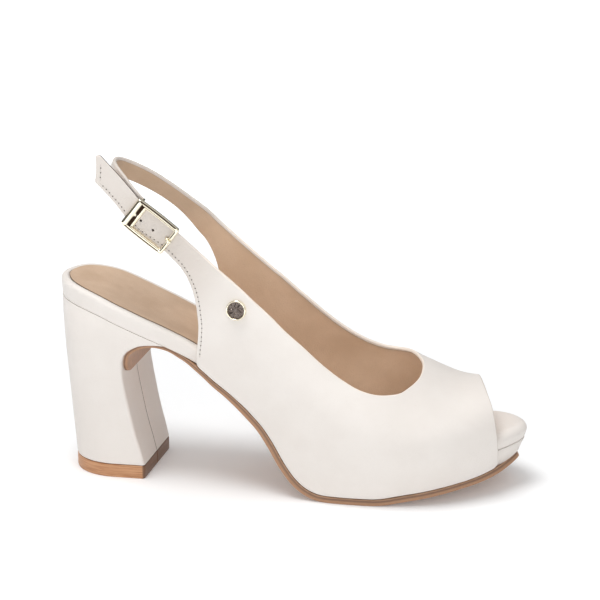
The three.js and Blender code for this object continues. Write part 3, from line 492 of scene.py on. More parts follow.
def half_section(x, sign, side, bottom_side, roundness):
    share = share_at(x)
    low = (outsole_top(x) + SEAM_GAP * slope_factor(outsole_top, x))[:, None]
    wide = (bed(x) + WAISTLINE * waistline(share))[:, None]
    high = (bed(x) + INSTEP_HEIGHT * instep(share))[:, None]
    top = (ridge(share) * BALL_WIDTH)[:, None]
    wide_y = (side(x) + sign * BULGE * bulge(share))[:, None]
    low_y = bottom_side(x)[:, None]
    power = 2 / roundness(share)[:, None]
    t = np.arange(RISE_STEPS)[None] / RISE_STEPS
    angle = np.linspace(0, math.pi / 2, ROOF_STEPS + 1)[None]
    cosine, sine = np.maximum(np.cos(angle), 0), np.sin(angle)
    rise = [lerp(low_y, wide_y, np.sin(t * math.pi / 2)), lerp(low, wide, t)]
    roof = [top + (wide_y - top) * cosine ** power, wide + (high - wide) * sine ** power]
    return np.concatenate([np.stack(rise, -1), np.stack(roof, -1)], 1)


def surface(along, girth):
    """Points of the upper's outer face at shares of the length and of the girth."""
    shape = np.broadcast(along, girth).shape
    along = np.broadcast_to(along, shape).ravel()
    girth = np.clip(np.broadcast_to(girth, shape).ravel(), 0, 1)
    found = []
    for part in np.array_split(np.arange(along.size), along.size // 4000 + 1):
        x = at(along[part])
        outer = half_section(x, -1, board_sides.outer, tucked_sides.outer, outer_round)
        inner = half_section(x, 1, board_sides.inner, tucked_sides.inner, inner_round)
        line = np.concatenate([outer, inner[:, -2::-1]], 1)
        length = row_lengths(line)
        goal = girth[part] * length[:, -1]
        k = np.clip((length < goal[:, None]).sum(1), 1, length.shape[1] - 1)
        row = np.arange(len(x))
        t = (goal - length[row, k - 1]) / np.maximum(length[row, k] - length[row, k - 1], 1e-9)
        place = lerp(line[row, k - 1], line[row, k], np.clip(t, 0, 1)[:, None])
        found.append(np.column_stack([x, place]))
    return np.concatenate(found).reshape(*shape, 3)


column_share = (np.arange(COLUMNS + 1) / COLUMNS) ** EDGE_CROWDING


def plane_line(rows):
    points = np.stack([rows["along"], rows["girth"]], 1)
    return Line(points if len(points) == 2 else catmull(points))


def shell_rows():
    """Rows of the quarters and the vamp, from the buckle strap's root round the toe to the sling's."""
    throat = plane_line(THROAT)
    low, high = [], []
    for number, (edge, start, stop, rows) in enumerate(STRETCHES):
        t = np.arange(1 if number else 0, rows * FINE + 1) / (rows * FINE)
        low.append(plane_line(edge).point(t))
        high.append(throat.point(lerp(start, stop, t)))
    low, high = np.concatenate(low), np.concatenate(high)
    place = lerp(low[:, None], high[:, None], column_share[None, :, None])
    return surface(place[..., 0], place[..., 1])


def space_points(rows):
    return np.stack([at(rows["along"]), rows["across"] * BALL_WIDTH,
                     SEAT_HEIGHT + rows["rise"] * SLING_RISE], 1)


def strap_sag(distance):
    """How far the strap's middle hangs below its own line. The distance is from the middle of the
    buckle towards the strap's tip."""
    spread = np.where(distance > SAG_MIDDLE, SAG_TO_TIP, SAG_TO_ROOT)
    return BUCKLE_SAG * peak(distance, SAG_MIDDLE, spread)


# Shares of a strap's length by which its root's curl and width have faded, and from which its tip is
# slanted and hollowed. The line's first points are moved to its root, less and less over ROOT_POINTS.
CURL_ENDS = 0.15
ROOT_WIDTH_ENDS = 0.3
SLANT_STARTS = 0.75
HOLLOW_STARTS = 0.85
ROOT_POINTS = 5


class Strap:
    """A band that leaves the middle of a quarter's last row. Its side is 1 where its right hand, seen
    along its run, faces out, and -1 where that faces in."""

    def __init__(self, rows, root_row, side, ends=()):
        points = space_points(rows)
        middle = (root_row[0] + root_row[-1]) / 2
        fade = np.maximum(0, 1 - np.arange(len(points)) / ROOT_POINTS) ** 2
        points = points + (middle - points[0]) * fade[:, None]
        self.line = Line(catmull(np.concatenate([points, ends]) if len(ends) else points))
        self.length = self.line.length
        knots = self.line.share[::SPLINE_STEPS]

        def along_line(name, beyond):
            values = np.append(rows[name], [beyond] * (len(knots) - len(points)))
            return column({"share": knots, name: values}, name, "share")

        self.width = along_line("width", rows["width"][-1])
        self.lean = along_line("lean", 0)
        self.root_row = root_row
        self.side = side

    def frame(self, share):
        """Centre, run, outward direction and direction to the upper edge."""
        centre, along = self.line.point(share), self.line.ahead(share)
        out = unit(np.cross(along, UP)) * self.side
        up = np.cross(out, along) * self.side
        lean = self.lean(share)[..., None]
        cosine, sine = np.cos(lean), np.sin(lean)
        return centre, along, out * cosine + up * sine, up * cosine - out * sine

    def rows(self, count, slant, hollow):
        """Rows after the root row, each from the strap's lower edge to its upper edge. The last one may
        be slanted and hollowed, with its far corner cut off."""
        share = np.arange(1, count * FINE + 1) / (count * FINE)
        centre, along, _, up = (part[:, None] for part in self.frame(share))
        root_half = (self.root_row[-1] - self.root_row[0]) / 2
        own_half = up * (STRAP_WIDTH / 2 * self.width(share))[:, None, None]
        low = strap_sag(share * self.length - BUCKLE_FROM_ROOT) if slant else 0 * share
        half = lerp(root_half, own_half, smooth(share, 0, ROOT_WIDTH_ENDS)[:, None, None])
        t = (2 * column_share - 1)[None, :, None]
        beyond = (t - TIP_CUT) * (1 / math.tan(slant) if slant else 0)
        reach = math.tan(slant) * np.minimum(t, TIP_CUT - beyond)
        skew = reach * (smooth(share, SLANT_STARTS, 1) * STRAP_WIDTH / 2)[:, None, None]
        straight = (self.root_row[0] + self.root_row[-1]) / 2 + root_half * t[0]
        curl = (self.root_row - straight) * (1 - smooth(share, 0, CURL_ENDS))[:, None, None]
        dip = (1 - t ** 2) * (hollow * smooth(share, HOLLOW_STARTS, 1))[:, None, None]
        sag = up * low[:, None, None] * (1 - SAG_EASE * np.maximum(t, 0))
        return centre + half * t + along * (skew - dip) + curl - sag


# Materials
def node(tree, kind, inputs=None, **settings):
    """Adds a shader node. An input is given a number, a colour or another node's output."""
    made = tree.nodes.new(kind)
    for name, value in settings.items():
        setattr(made, name, value)
    for name, value in (inputs or {}).items():
        if isinstance(value, bpy.types.NodeSocket):
            tree.links.new(value, made.inputs[name])
        else:
            made.inputs[name].default_value = value
    return made


def blank(name, **sockets):
    """A material with one Principled shader, whose plain values are set on its own sockets."""
    material = bpy.data.materials.new(name)
    material.use_nodes = True
    tree = material.node_tree
    shader = tree.nodes["Principled BSDF"]
    for socket, value in sockets.items():
        shader.inputs[socket.replace("_", " ")].default_value = value
    place = node(tree, "ShaderNodeTexCoord").outputs["Object"]
    return material, tree, place


def wired(material, colour, rough, normal):
    """The material, its shader joined to the outputs that give its colour, roughness and normal."""
    tree = material.node_tree
    shader = tree.nodes["Principled BSDF"]
    for socket, value in (("Base Color", colour), ("Roughness", rough), ("Normal", normal)):
        tree.links.new(value, shader.inputs[socket])
    return material


def noise(tree, place, scale, detail=3, roughness=0.55):
    made = node(tree, "ShaderNodeTexNoise", {
        "Vector": place, "Scale": scale, "Detail": detail, "Roughness": roughness,
    })
    return made.outputs["Fac"]


def cells(tree, place, scale, feature="F1"):
    made = node(tree, "ShaderNodeTexVoronoi", {"Vector": place, "Scale": scale}, feature=feature)
    return made.outputs["Distance"]


def ramp(tree, value, low, high, bottom=0.0, top=1.0):
    made = node(tree, "ShaderNodeMapRange", {
        "Value": value, "From Min": low, "From Max": high, "To Min": bottom, "To Max": top,
    }, interpolation_type="SMOOTHSTEP")
    return made.outputs["Result"]


def blend(tree, share, first, second):
    """Colour from first to second as the share goes from 0 to 1."""
    made = node(tree, "ShaderNodeMix", data_type="RGBA")
    sockets = [socket for socket in made.inputs if socket.type == "RGBA"]
    for socket, value in ((made.inputs[0], share), (sockets[0], first), (sockets[1], second)):
        if isinstance(value, bpy.types.NodeSocket):
            tree.links.new(value, socket)
        elif socket.type == "RGBA":
            socket.default_value = (*value, 1)
        else:
            socket.default_value = value
    return next(socket for socket in made.outputs if socket.type == "RGBA")


def maths(tree, operation, first, second):
    made = node(tree, "ShaderNodeMath", operation=operation)
    for socket, value in zip(made.inputs, (first, second)):
        if isinstance(value, bpy.types.NodeSocket):
            tree.links.new(value, socket)
        else:
            socket.default_value = value
    return made.outputs["Value"]


def mask(tree, name):
    return node(tree, "ShaderNodeAttribute", attribute_name=name).outputs["Fac"]


def bump(tree, height, distance, strength=1.0, under=None):
    inputs = {"Height": height, "Distance": distance, "Strength": strength}
    if under:
        inputs["Normal"] = under
    return node(tree, "ShaderNodeBump", inputs).outputs["Normal"]


# How far the buckle strap slopes up to its tip, as a turn about y
STRAP_PITCH = 0.65


def white_leather():
    """Smooth calf: a fine even grain, faint clouds, a paler folded rim, a dark line in a seam, painted
    shade in the groove round the sock and along the board's lower edge, and straps darkened with painted
    shade, with fine wrinkles along them."""
    material, tree, place = blank(
        "white_leather", Coat_Weight=0.04, Coat_Roughness=0.4, Specular_IOR_Level=0.32,
    )
    clouds = ramp(tree, noise(tree, place, 38, 4), 0.35, 0.65)
    colour = blend(tree, clouds, (0.815, 0.762, 0.715), (0.84, 0.79, 0.745))
    dust = ramp(tree, noise(tree, place, 900, 5, 0.7), 0.55, 0.8, 0, 0.35)
    colour = blend(tree, dust, colour, (0.74, 0.68, 0.625))
    # Painted shade on the straps, where the strap mask is 1
    colour = blend(tree, mask(tree, "strap"), colour, (0.7, 0.635, 0.58))
    colour = blend(tree, mask(tree, "rim"), colour, (0.9, 0.81, 0.72))
    # The seam mask darkens seams and a line on the buckle strap's rim, and paints shade in the groove
    # round the sock and along the board's lower edge
    colour = blend(tree, ramp(tree, mask(tree, "seam"), 0.2, 0.9), colour, (0.10, 0.075, 0.06))
    rough = ramp(tree, noise(tree, place, 160, 3), 0.3, 0.7, 0.48, 0.6)
    grain = maths(tree, "ADD", cells(tree, place, 2300), noise(tree, place, 1500, 4))
    fine = bump(tree, grain, 0.00006, 0.6)
    waves = bump(tree, noise(tree, place, 120, 2), 0.0008, 0.25, fine)
    turned = node(tree, "ShaderNodeMapping", {"Vector": place, "Rotation": (0, STRAP_PITCH, 0)})
    wrinkles = noise(tree, stretched(tree, turned.outputs["Vector"], (260, 260, 1300)), 1, 3, 0.6)
    wrinkles = maths(tree, "MULTIPLY", wrinkles, mask(tree, "strap"))
    return wired(material, colour, rough, bump(tree, wrinkles, 0.0005, 0.5, waves))


def beige_leather(name, dark, pale, roughness):
    """Matt unfinished leather with small pores, in shade where its side mask is 1."""
    material, tree, place = blank(name, Sheen_Weight=0.15, Sheen_Roughness=0.5, Specular_IOR_Level=0.3)
    clouds = ramp(tree, noise(tree, place, 45, 5, 0.6), 0.3, 0.7)
    colour = blend(tree, clouds, dark, pale)
    pores = ramp(tree, cells(tree, place, 1500), 0.05, 0.3, 0.35, 0)
    colour = blend(tree, pores, colour, tuple(part * 0.72 for part in dark))
    colour = blend(tree, mask(tree, "side"), colour, tuple(part * 0.35 for part in dark))
    rough = ramp(tree, noise(tree, place, 300, 3), 0.3, 0.7, roughness - 0.07, roughness + 0.07)
    grain = maths(tree, "ADD", cells(tree, place, 1500), noise(tree, place, 700, 5, 0.7))
    return wired(material, colour, rough, bump(tree, grain, 0.00012, 0.6))


def stretched(tree, place, scale):
    return node(tree, "ShaderNodeMapping", {"Vector": place, "Scale": scale}).outputs["Vector"]


def sole_leather():
    """Tan leather sole: a waxed edge, darker at its top, and a buffed underside with long fibres."""
    material, tree, place = blank("sole_leather", Specular_IOR_Level=0.4)
    fibres = noise(tree, stretched(tree, place, (60, 420, 420)), 1, 5, 0.65)
    colour = blend(tree, ramp(tree, fibres, 0.3, 0.7), (0.42, 0.235, 0.135), (0.53, 0.32, 0.2))
    down = ramp(tree, mask(tree, "down"), 0.2, 0.65)
    edge = blend(tree, down, (0.13, 0.075, 0.05), (0.43, 0.24, 0.14))
    colour = blend(tree, mask(tree, "side"), colour, edge)
    rough = ramp(tree, fibres, 0.3, 0.7, 0.42, 0.58)
    return wired(material, colour, rough, bump(tree, fibres, 0.00015, 0.5))


def tip_rubber():
    """Orange tan heel tip with level buffing marks, in shade at its front."""
    material, tree, place = blank("tip_rubber", Specular_IOR_Level=0.4)
    marks = noise(tree, stretched(tree, place, (70, 70, 1900)), 1, 4, 0.6)
    colour = blend(tree, ramp(tree, marks, 0.35, 0.65), (0.44, 0.2, 0.09), (0.62, 0.335, 0.18))
    colour = blend(tree, mask(tree, "side"), colour, (0.2, 0.105, 0.06))
    specks = ramp(tree, noise(tree, place, 700, 4, 0.7), 0.6, 0.78, 0, 0.5)
    colour = blend(tree, specks, colour, (0.3, 0.14, 0.07))
    rough = ramp(tree, marks, 0.3, 0.7, 0.36, 0.52)
    return wired(material, colour, rough, bump(tree, marks, 0.0001, 0.6))


def cast_metal(name, colour, dark, roughness, hollows=0.0):
    """Polished metal with faint clouds and hairlines, and painted dark reflections and shade in dark
    brown where its shade mask is 1. Hollows says how far the hollows of its relief darken."""
    material, tree, place = blank(name, Metallic=1.0)
    clouds = ramp(tree, noise(tree, place, 260, 4), 0.35, 0.7)
    tint = blend(tree, clouds, colour, dark)
    if hollows:
        hollow = node(tree, "ShaderNodeNewGeometry").outputs["Pointiness"]
        tint = blend(tree, ramp(tree, hollow, 0.42, 0.52, hollows, 0), tint, (0.06, 0.05, 0.045))
    # Painted dark reflections and shade, where the shade mask is 1
    tint = blend(tree, ramp(tree, mask(tree, "shade"), 0.25, 0.6), tint, (0.035, 0.02, 0.012))
    hair = noise(tree, stretched(tree, place, (400, 2600, 900)), 1, 3)
    rough = ramp(tree, hair, 0.3, 0.7, roughness * 0.75, roughness * 1.3)
    return wired(material, tint, rough, bump(tree, hair, 0.00002, 0.4))


def thread(name, colour):
    """Waxed thread with its twist."""
    material, tree, place = blank(name, Sheen_Weight=0.1)
    wave = node(tree, "ShaderNodeTexWave", {"Vector": place, "Scale": 900, "Distortion": 2})
    twist = wave.outputs["Fac"]
    tint = blend(tree, twist, tuple(part * 0.8 for part in colour), colour)
    return wired(material, tint, ramp(tree, twist, 0, 1, 0.5, 0.7), bump(tree, twist, 0.00005, 0.5))


LEATHER = white_leather()
LINING_LEATHER = beige_leather("lining_leather", (0.7, 0.5, 0.345), (0.78, 0.575, 0.415), 0.62)
SOCK_LEATHER = beige_leather("sock_leather", (0.56, 0.385, 0.255), (0.66, 0.48, 0.34), 0.5)
SOLE_LEATHER = sole_leather()
TIP_RUBBER = tip_rubber()
GOLD = cast_metal("pale_gold", (0.97, 0.9, 0.73), (0.93, 0.84, 0.64), 0.1)
PEWTER = cast_metal("dark_pewter", (0.24, 0.2, 0.18), (0.13, 0.1, 0.085), 0.22, 0.9)
THREAD_WHITE = thread("waxed_thread", (0.72, 0.66, 0.61))
# Near black discs of painted shade in the needle holes and in the strap's holes
HOLE_SHADE = thread("needle_hole", (0.09, 0.065, 0.05))


# Meshes
MERGE = 0.002


def grid_faces(rows, columns, wrap=False, start=0):
    """Quads between the points of a grid, row after row. Wrap closes each row on itself."""
    r = np.arange(rows - 1)[:, None] * columns
    k = np.arange(columns if wrap else columns - 1)[None]
    beside = (k + 1) % columns
    quads = np.stack([r + k, r + beside, r + columns + beside, r + columns + k], -1)
    return (quads.reshape(-1, 4) + start).tolist()


def closed_rings(rings):
    """A solid through closed rings, its two ends filled from their middles."""
    rings = np.asarray(rings)
    rows, size = rings.shape[:2]
    points = np.concatenate([rings.reshape(-1, 3), [rings[0].mean(0)], [rings[-1].mean(0)]])
    faces = grid_faces(rows, size, wrap=True)
    for first, middle in ((0, rows * size), ((rows - 1) * size, rows * size + 1)):
        faces += [[first + k, first + (k + 1) % size, middle] for k in range(size)]
    return points, faces


def joined(parts):
    """Several point and face lists as one."""
    points, faces, start = [], [], 0
    for part_points, part_faces in parts:
        points.append(np.asarray(part_points))
        faces += [[corner + start for corner in face] for face in part_faces]
        start += len(part_points)
    return np.concatenate(points), faces


def add_object(name, data):
    """A new object in the scene."""
    made = bpy.data.objects.new(name, data)
    bpy.context.scene.collection.objects.link(made)
    return made


def add_piece(name, body, material, node=None, masks=None, crisp=50):
    """Adds a smooth shaded piece from points and faces, with a number at each point for each mask. Its
    faces look outwards, also where the recalculation leaves a thin sheet inside out."""
    points, faces = body
    mesh = bpy.data.meshes.new(name)
    mesh.from_pydata((np.asarray(points).reshape(-1, 3) * MM).tolist(), [], faces)
    for mask, values in (masks or {}).items():
        layer = mesh.attributes.new(mask, "FLOAT", "POINT")
        layer.data.foreach_set("value", np.ravel(values).astype(np.float32))
    work = bmesh.new()
    work.from_mesh(mesh)
    bmesh.ops.remove_doubles(work, verts=work.verts, dist=MERGE * MM)
    bmesh.ops.recalc_face_normals(work, faces=work.faces)
    if work.calc_volume(signed=True) < 0:
        bmesh.ops.reverse_faces(work, faces=work.faces)
    work.to_mesh(mesh)
    work.free()
    mesh.shade_smooth()
    mesh.set_sharp_from_angle(angle=math.radians(crisp))
    mesh.materials.append(material)
    piece = add_object(name, mesh)
    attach(piece, "root")
    if node:
        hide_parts(node)
    return piece


# Upper
# Distances of a row's first points from its cut end, before the even ones
END_STEPS = (0, 0.35, 0.9, 1.7)


def recut(grid, start, stop, count):
    """Each row cut short by start and stop at its two ends and divided again, most finely there."""
    length = row_lengths(grid)
    low = np.broadcast_to(start, len(grid))[:, None]
    high = length[:, -1:] - np.broadcast_to(stop, len(grid))[:, None]
    close, even = np.array(END_STEPS[:-1]), END_STEPS[-1]
    middle = np.linspace(0, 1, count - 4)[None]
    goal = np.concatenate([low + close, lerp(low + even, high - even, middle), high - close[::-1]], 1)
    return np.stack([
        np.stack([np.interp(g, s, row[:, axis]) for axis in range(3)], 1)
        for g, s, row in zip(goal, length, grid)
    ])


def normals(grid):
    return unit(np.cross(np.gradient(grid, axis=0), np.gradient(grid, axis=1)))


def relax(grid, passes, middle=None, reach=None):
    """Evens out a grid along its columns, or only so many rows to either side of a row in the middle."""
    grid = grid.copy()
    share = 1
    if middle is not None:
        away = abs(np.arange(len(grid)) - middle)[1:-1, None, None]
        share = 1 - smooth(away, 0, reach)
    for _ in range(passes):
        grid[1:-1] += share * (grid[:-2] + grid[2:] - 2 * grid[1:-1]) / 4
    return grid


RIM_TURN = np.radians([22, 45, 67, 90, 113, 135, 158])
END_TURN = np.radians([90, 65, 40, 20])
RIM_SQUARENESS = 0.75


def wall(grid, normal, outer, inner):
    """A sheet of the upper with a rounded rim, between two offsets from its face. The other results
    are 1 on the rim of its high edge and on that of its low edge, and 0 elsewhere."""
    half, middle = (outer - inner) / 2, (outer + inner) / 2
    before = [grid[0] + unit(grid[0] - grid[1]) * half * math.sin(a) for a in END_TURN]
    after = [grid[-1] + unit(grid[-1] - grid[-2]) * half * math.sin(a) for a in END_TURN[::-1]]
    ends = len(END_TURN)
    grid = np.concatenate([before, grid, after])
    normal = np.concatenate([[normal[0]] * ends, normal, [normal[-1]] * ends])
    thin = np.concatenate([np.cos(END_TURN), np.ones(len(grid) - 2 * ends), np.cos(END_TURN[::-1])])
    half = (half * thin)[:, None, None]
    out_low = unit(grid[:, 0] - grid[:, 1])[:, None]
    out_high = unit(grid[:, -1] - grid[:, -2])[:, None]
    turn = RIM_TURN[None, :, None]
    lift = np.sign(np.cos(turn)) * np.abs(np.cos(turn)) ** RIM_SQUARENESS
    swell = np.sin(turn) ** RIM_SQUARENESS
    rim_high = grid[:, -1:] + normal[:, -1:] * (middle + half * lift) + out_high * half * swell
    rim_low = grid[:, :1] + normal[:, :1] * (middle - half * lift) + out_low * half * swell
    face, back = grid + normal * (middle + half), grid + normal * (middle - half)
    rings = np.concatenate([face, rim_high, back[:, ::-1], rim_low], 1)
    faces_wide, rim_wide = grid.shape[1], len(RIM_TURN)
    high, low = np.zeros(rings.shape[:2]), np.zeros(rings.shape[:2])
    high[:, faces_wide:faces_wide + rim_wide] = 1
    low[:, -rim_wide:] = 1
    return (rings.reshape(-1, 3), grid_faces(*rings.shape[:2], wrap=True)), high, low


shell = shell_rows()
buckle_strap = Strap(BUCKLE_STRAP, shell[0], -1)
SLING_STOP = BUCKLE_FROM_ROOT + BUCKLE_LENGTH / 2 - BAR_SETBACK + BAR_CLEARANCE


def under_strap(distance):
    """The sling's place under the buckle strap at a distance from the strap's root."""
    centre, _, out, up = buckle_strap.frame(distance / buckle_strap.length)
    return centre - out * (UPPER_WALL + LAYER_GAP) + up * SLING_SHOWS


sling_ends = [under_strap(lerp(SLING_STOP, SLING_MEETS, share)) for share in (1, 0.5, 0)]
sling = Strap(SLING_STRAP, shell[-1], 1, sling_ends)

# Creases of the outer quarter and the straps, in side view: shares of the length and of the instep
# height above the seat's level at both ends, and depth and half width
CREASES = table(
    "from_along from_rise to_along to_rise depth width",
    (0.262, 0.2, 0.292, 0.3, 0.22, 1.6), (0.27, 0.12, 0.31, 0.22, 0.18, 1.8),
    (0.28, 0.05, 0.325, 0.17, 0.15, 2.2), (0.243, 0.28, 0.268, 0.37, 0.14, 1.2),
    (0.256, 0.25, 0.29, 0.285, 0.16, 0.6), (0.262, 0.22, 0.3, 0.26, 0.16, 0.6),
    (0.27, 0.175, 0.305, 0.225, 0.15, 0.7), (0.24, 0.31, 0.27, 0.325, 0.16, 0.6),
    (0.248, 0.285, 0.278, 0.305, 0.14, 0.6), (0.278, 0.14, 0.32, 0.19, 0.14, 0.8),
    (0.232, 0.335, 0.258, 0.36, 0.14, 0.6), (0.285, 0.1, 0.33, 0.13, 0.12, 0.9),
)
SWELLS = ((0.016, 0.011, 0.45), (0.034, 0.023, 0.3), (0.071, 0.048, 0.12))


def relief(points):
    """Height of the leather's creases and soft swells over the last."""
    x, y, z = np.moveaxis(points, -1, 0)
    height = np.zeros(x.shape)
    outside = 1 - smooth(y, -12, -2)
    rows = zip(*CREASES.values())
    for from_along, from_rise, to_along, to_rise, depth, width in rows:
        start = np.array([at(from_along), SEAT_HEIGHT + from_rise * INSTEP_HEIGHT])
        stop = np.array([at(to_along), SEAT_HEIGHT + to_rise * INSTEP_HEIGHT])
        run = stop - start
        share = ((x - start[0]) * run[0] + (z - start[1]) * run[1]) / (run @ run)
        near = np.clip(share, 0, 1)
        away = np.hypot(x - start[0] - near * run[0], z - start[1] - near * run[1])
        fade = smooth(share, -0.1, 0.3) * (1 - smooth(share, 0.7, 1.1))
        height -= depth * fade * outside * peak(away, 0, width)
    for number, (along, around, size) in enumerate(SWELLS):
        wave = np.sin(x * along * 6 + z * around * 5 + number) * np.sin(y * around * 7 + z * along * 4)
        height += size * 0.25 * wave
    return height


# The upper's face as one grid of rows, from the buckle strap's tip to the sling's end
buckle_rows = buckle_strap.rows(BUCKLE_STRAP_ROWS, TIP_SLANT, TIP_HOLLOW)[::-1]
sling_rows = sling.rows(SLING_ROWS, 0, 0)
upper_face = np.concatenate([buckle_rows, shell, sling_rows])
first_shell = len(buckle_rows)
last_shell = first_shell + len(shell) - 1

# Where the rows are evened out, at the roots of the straps and where the sling turns: middle row, number
# of passes, and rows reached to either side
EVENED = (
    (first_shell, 30, 24), (last_shell, 40, 30), (len(upper_face) - 46, 60, 24),
    (len(upper_face) - 12, 60, 40), (last_shell + 95, 220, 90),
)
for middle, passes, reach in EVENED:
    upper_face = relax(upper_face, passes, middle, reach)
upper_face = relax(upper_face, 3)
upper_face = upper_face + normals(upper_face) * relief(upper_face)[..., None]
LEATHER_COLUMNS = 34
leather_half = (UPPER_WALL - LINING + 0.05) / 2


def punched(piece, places):
    """Cuts the strap's round holes through a piece."""
    seat = buckle_seat()
    drills = []
    for place in places:
        rings = [circle(28, HOLE_DIAMETER / 2, HOLE_DIAMETER / 2, z) + (*place, 0) for z in (-5, 2)]
        points, faces = closed_rings(rings)
        drills.append((placed(points, seat), faces))
    points, faces = joined(drills)
    mesh = bpy.data.meshes.new("drill")
    mesh.from_pydata((points * MM).tolist(), [], faces)
    drill = add_object("drill", mesh)
    cut = piece.modifiers.new("holes", "BOOLEAN")
    cut.operation = "DIFFERENCE"
    cut.solver = "EXACT"
    cut.object = drill
    depsgraph = bpy.context.evaluated_depsgraph_get()
    made = bpy.data.meshes.new_from_object(piece.evaluated_get(depsgraph), depsgraph=depsgraph)
    piece.modifiers.clear()
    old, name = piece.data, piece.data.name
    piece.data = made
    bpy.data.meshes.remove(old)
    made.name = name
    bpy.data.objects.remove(drill)
    bpy.data.meshes.remove(mesh)


# Hardware places
def buckle_seat():
    """Frame of the buckle on its strap: x to the toe along the strap, y across it, z outwards."""
    centre, along, out, up = buckle_strap.frame(BUCKLE_FROM_ROOT / buckle_strap.length)
    return centre, np.stack([-along, up, out])


def stud_seat():
    step = 0.004
    x = unit(surface(STUD_ALONG + step, STUD_GIRTH) - surface(STUD_ALONG - step, STUD_GIRTH))
    up = unit(surface(STUD_ALONG, STUD_GIRTH + step) - surface(STUD_ALONG, STUD_GIRTH - step))
    z = unit(np.cross(x, up))
    return surface(STUD_ALONG, STUD_GIRTH), np.stack([x, np.cross(z, x), z])


def placed(points, seat):
    centre, axes = seat
    return centre + np.asarray(points) @ axes


FIRST_HOLE = (BUCKLE_LENGTH - PRONG_WIDTH) / 2 - BUCKLE_BAR
hole_places = [(FIRST_HOLE, 0)]
for number in (1, 2):
    place = FIRST_HOLE - number * HOLE_PITCH
    hole_places.append((place, -strap_sag(-place)))


# Numbers of the upper's rows over which its masks change: at the roots of the straps, along the first
# part of a strap, and at the buckle strap's tip
ROOT_ROWS = 10
STRAP_ROWS = 30
TIP_ROWS = (15, 50)
SIDE_RIM = 0.1
PEEP_RIM = 0.6
PEEP_LINE = 0.6


def wall_rows(grid):
    """The number of the row that each ring of a grid's wall stands on."""
    return np.pad(np.arange(len(grid)), len(END_TURN), mode="edge")[:, None]


def make_upper():
    """The leather, with masks for its folded rim, for a dark line on the back half of the buckle strap's
    upper rim and the line along the peep toe, and for painted shade on its two straps, a mask that also
    places their wrinkles."""
    grid = recut(upper_face, leather_half, leather_half, LEATHER_COLUMNS)
    normal = normals(grid)
    body, high, low = wall(grid, normal, 0, LINING - 0.05 - UPPER_WALL)
    number = wall_rows(grid)
    throat = smooth(number, first_shell - ROOT_ROWS, first_shell + ROOT_ROWS)
    throat = throat * (1 - smooth(number, last_shell - ROOT_ROWS, last_shell + ROOT_ROWS))
    rim = high * lerp(SIDE_RIM, 1, throat) + low * SIDE_RIM
    # A dark line on the back half of the buckle strap's upper rim, fading out before the strap's root
    back_half = np.arange(high.shape[1]) > LEATHER_COLUMNS + len(RIM_TURN) // 2
    dark_back_rim = high * back_half * (1 - smooth(number, first_shell - 50, first_shell - 20))
    peep_start = first_shell + sum(rows for *_, rows in STRETCHES[:2]) * FINE
    peep = (number >= peep_start) & (number <= peep_start + STRETCHES[2][3] * FINE)
    rim += low * peep * PEEP_RIM
    line = np.zeros(rim.shape)
    line[:, -1] = PEEP_LINE
    # The strap mask: painted shade on both straps, less at the buckle strap's tip; it also places the
    # wrinkles
    on_buckle_strap = 1 - smooth(number, first_shell - 4, first_shell - 4 + STRAP_ROWS)
    on_sling = smooth(number, last_shell, last_shell + STRAP_ROWS)
    strap = np.maximum(on_buckle_strap, on_sling) * lerp(0.7, 1, smooth(number, *TIP_ROWS))
    masks = {"rim": rim, "seam": dark_back_rim + line * peep, "strap": np.broadcast_to(strap, rim.shape)}
    leather = add_piece("upper_leather", body, LEATHER, "upper", masks)
    punched(leather, hole_places)


# The lining's upper edge darkens over its first columns, and the sling's lining along two stretches of
# rows past the sling's root, each with the shade that it adds
LINING_EDGE = (1, 0.85, 0.65, 0.42, 0.22, 0.08)
LINING_SUNK = 3
SLING_SHADES = ((-10, 50, 0.37), (120, 190, 0.13))


def make_lining():
    """The lining, from a margin below the rim to a little under the insole's top."""
    grid = upper_face[2:-2]
    length = row_lengths(grid)
    sunk = grid[..., 2] < bed(grid[..., 0]) - LINING_SUNK
    sunk &= (np.arange(len(grid)) > first_shell)[:, None] & (np.arange(len(grid)) < last_shell)[:, None]
    start = np.maximum((length * sunk).max(1), LINING_LOW_MARGIN)
    start = np.minimum(start, length[:, -1] * 0.6)
    grid = recut(grid, start, LINING_MARGIN, LEATHER_COLUMNS)
    body, high, _ = wall(grid, normals(grid), 0.1 + LINING - UPPER_WALL, -UPPER_WALL)
    back = LEATHER_COLUMNS + len(RIM_TURN)
    high[:, back:back + len(LINING_EDGE)] = LINING_EDGE
    number = wall_rows(grid) - last_shell
    shade = sum(size * smooth(number, start, stop) for start, stop, size in SLING_SHADES)
    masks = {"side": np.maximum(0.5 * high, shade)}
    lining = add_piece("upper_lining", body, LINING_LEATHER, "upper", masks)
    punched(lining, hole_places)


# Dark discs of painted shade in the needle holes, and in the depth of the strap's holes: their steps are
# pairs of a radius and a height, the radius of a needle hole as a share of its own
PIT_LENGTH = 0.68
PIT_WIDTH = 0.56
PIT_PROFILE = ((0.9, -0.1), (1, 0.03), (0.7, 0.09), (0.25, 0.07))
SHADE_DISC_PROFILE = ((0.72, -1.78), (0.72, -1.2), (0.4, -1.15))


def capsule(length, radius, sides=8):
    """A stitch lying along x, its ends turned down into the leather."""
    turns = np.linspace(0, 2 * math.pi, sides, endpoint=False)
    rings = []
    for t in np.linspace(-1, 1, 9):
        girth = radius * math.sqrt(max(1 - t ** 4, 0.02))
        drop = -radius * 1.1 * t ** 4
        rings.append(np.stack([np.full(sides, t * length / 2), np.cos(turns) * girth,
                               np.sin(turns) * girth * 0.8 + drop], 1))
    return closed_rings(rings)


def row_of(body, line, shares, height=0.0):
    """Copies of a body along a line of the upper's face, each raised by a height."""
    copies = []
    for share in shares:
        along, out = line.ahead(share), line.out(share)
        across = unit(np.cross(out, along))
        seat = (line.point(share) + out * height, np.stack([along, across, np.cross(along, across)]))
        copies.append((placed(body[0], seat), body[1]))
    return copies


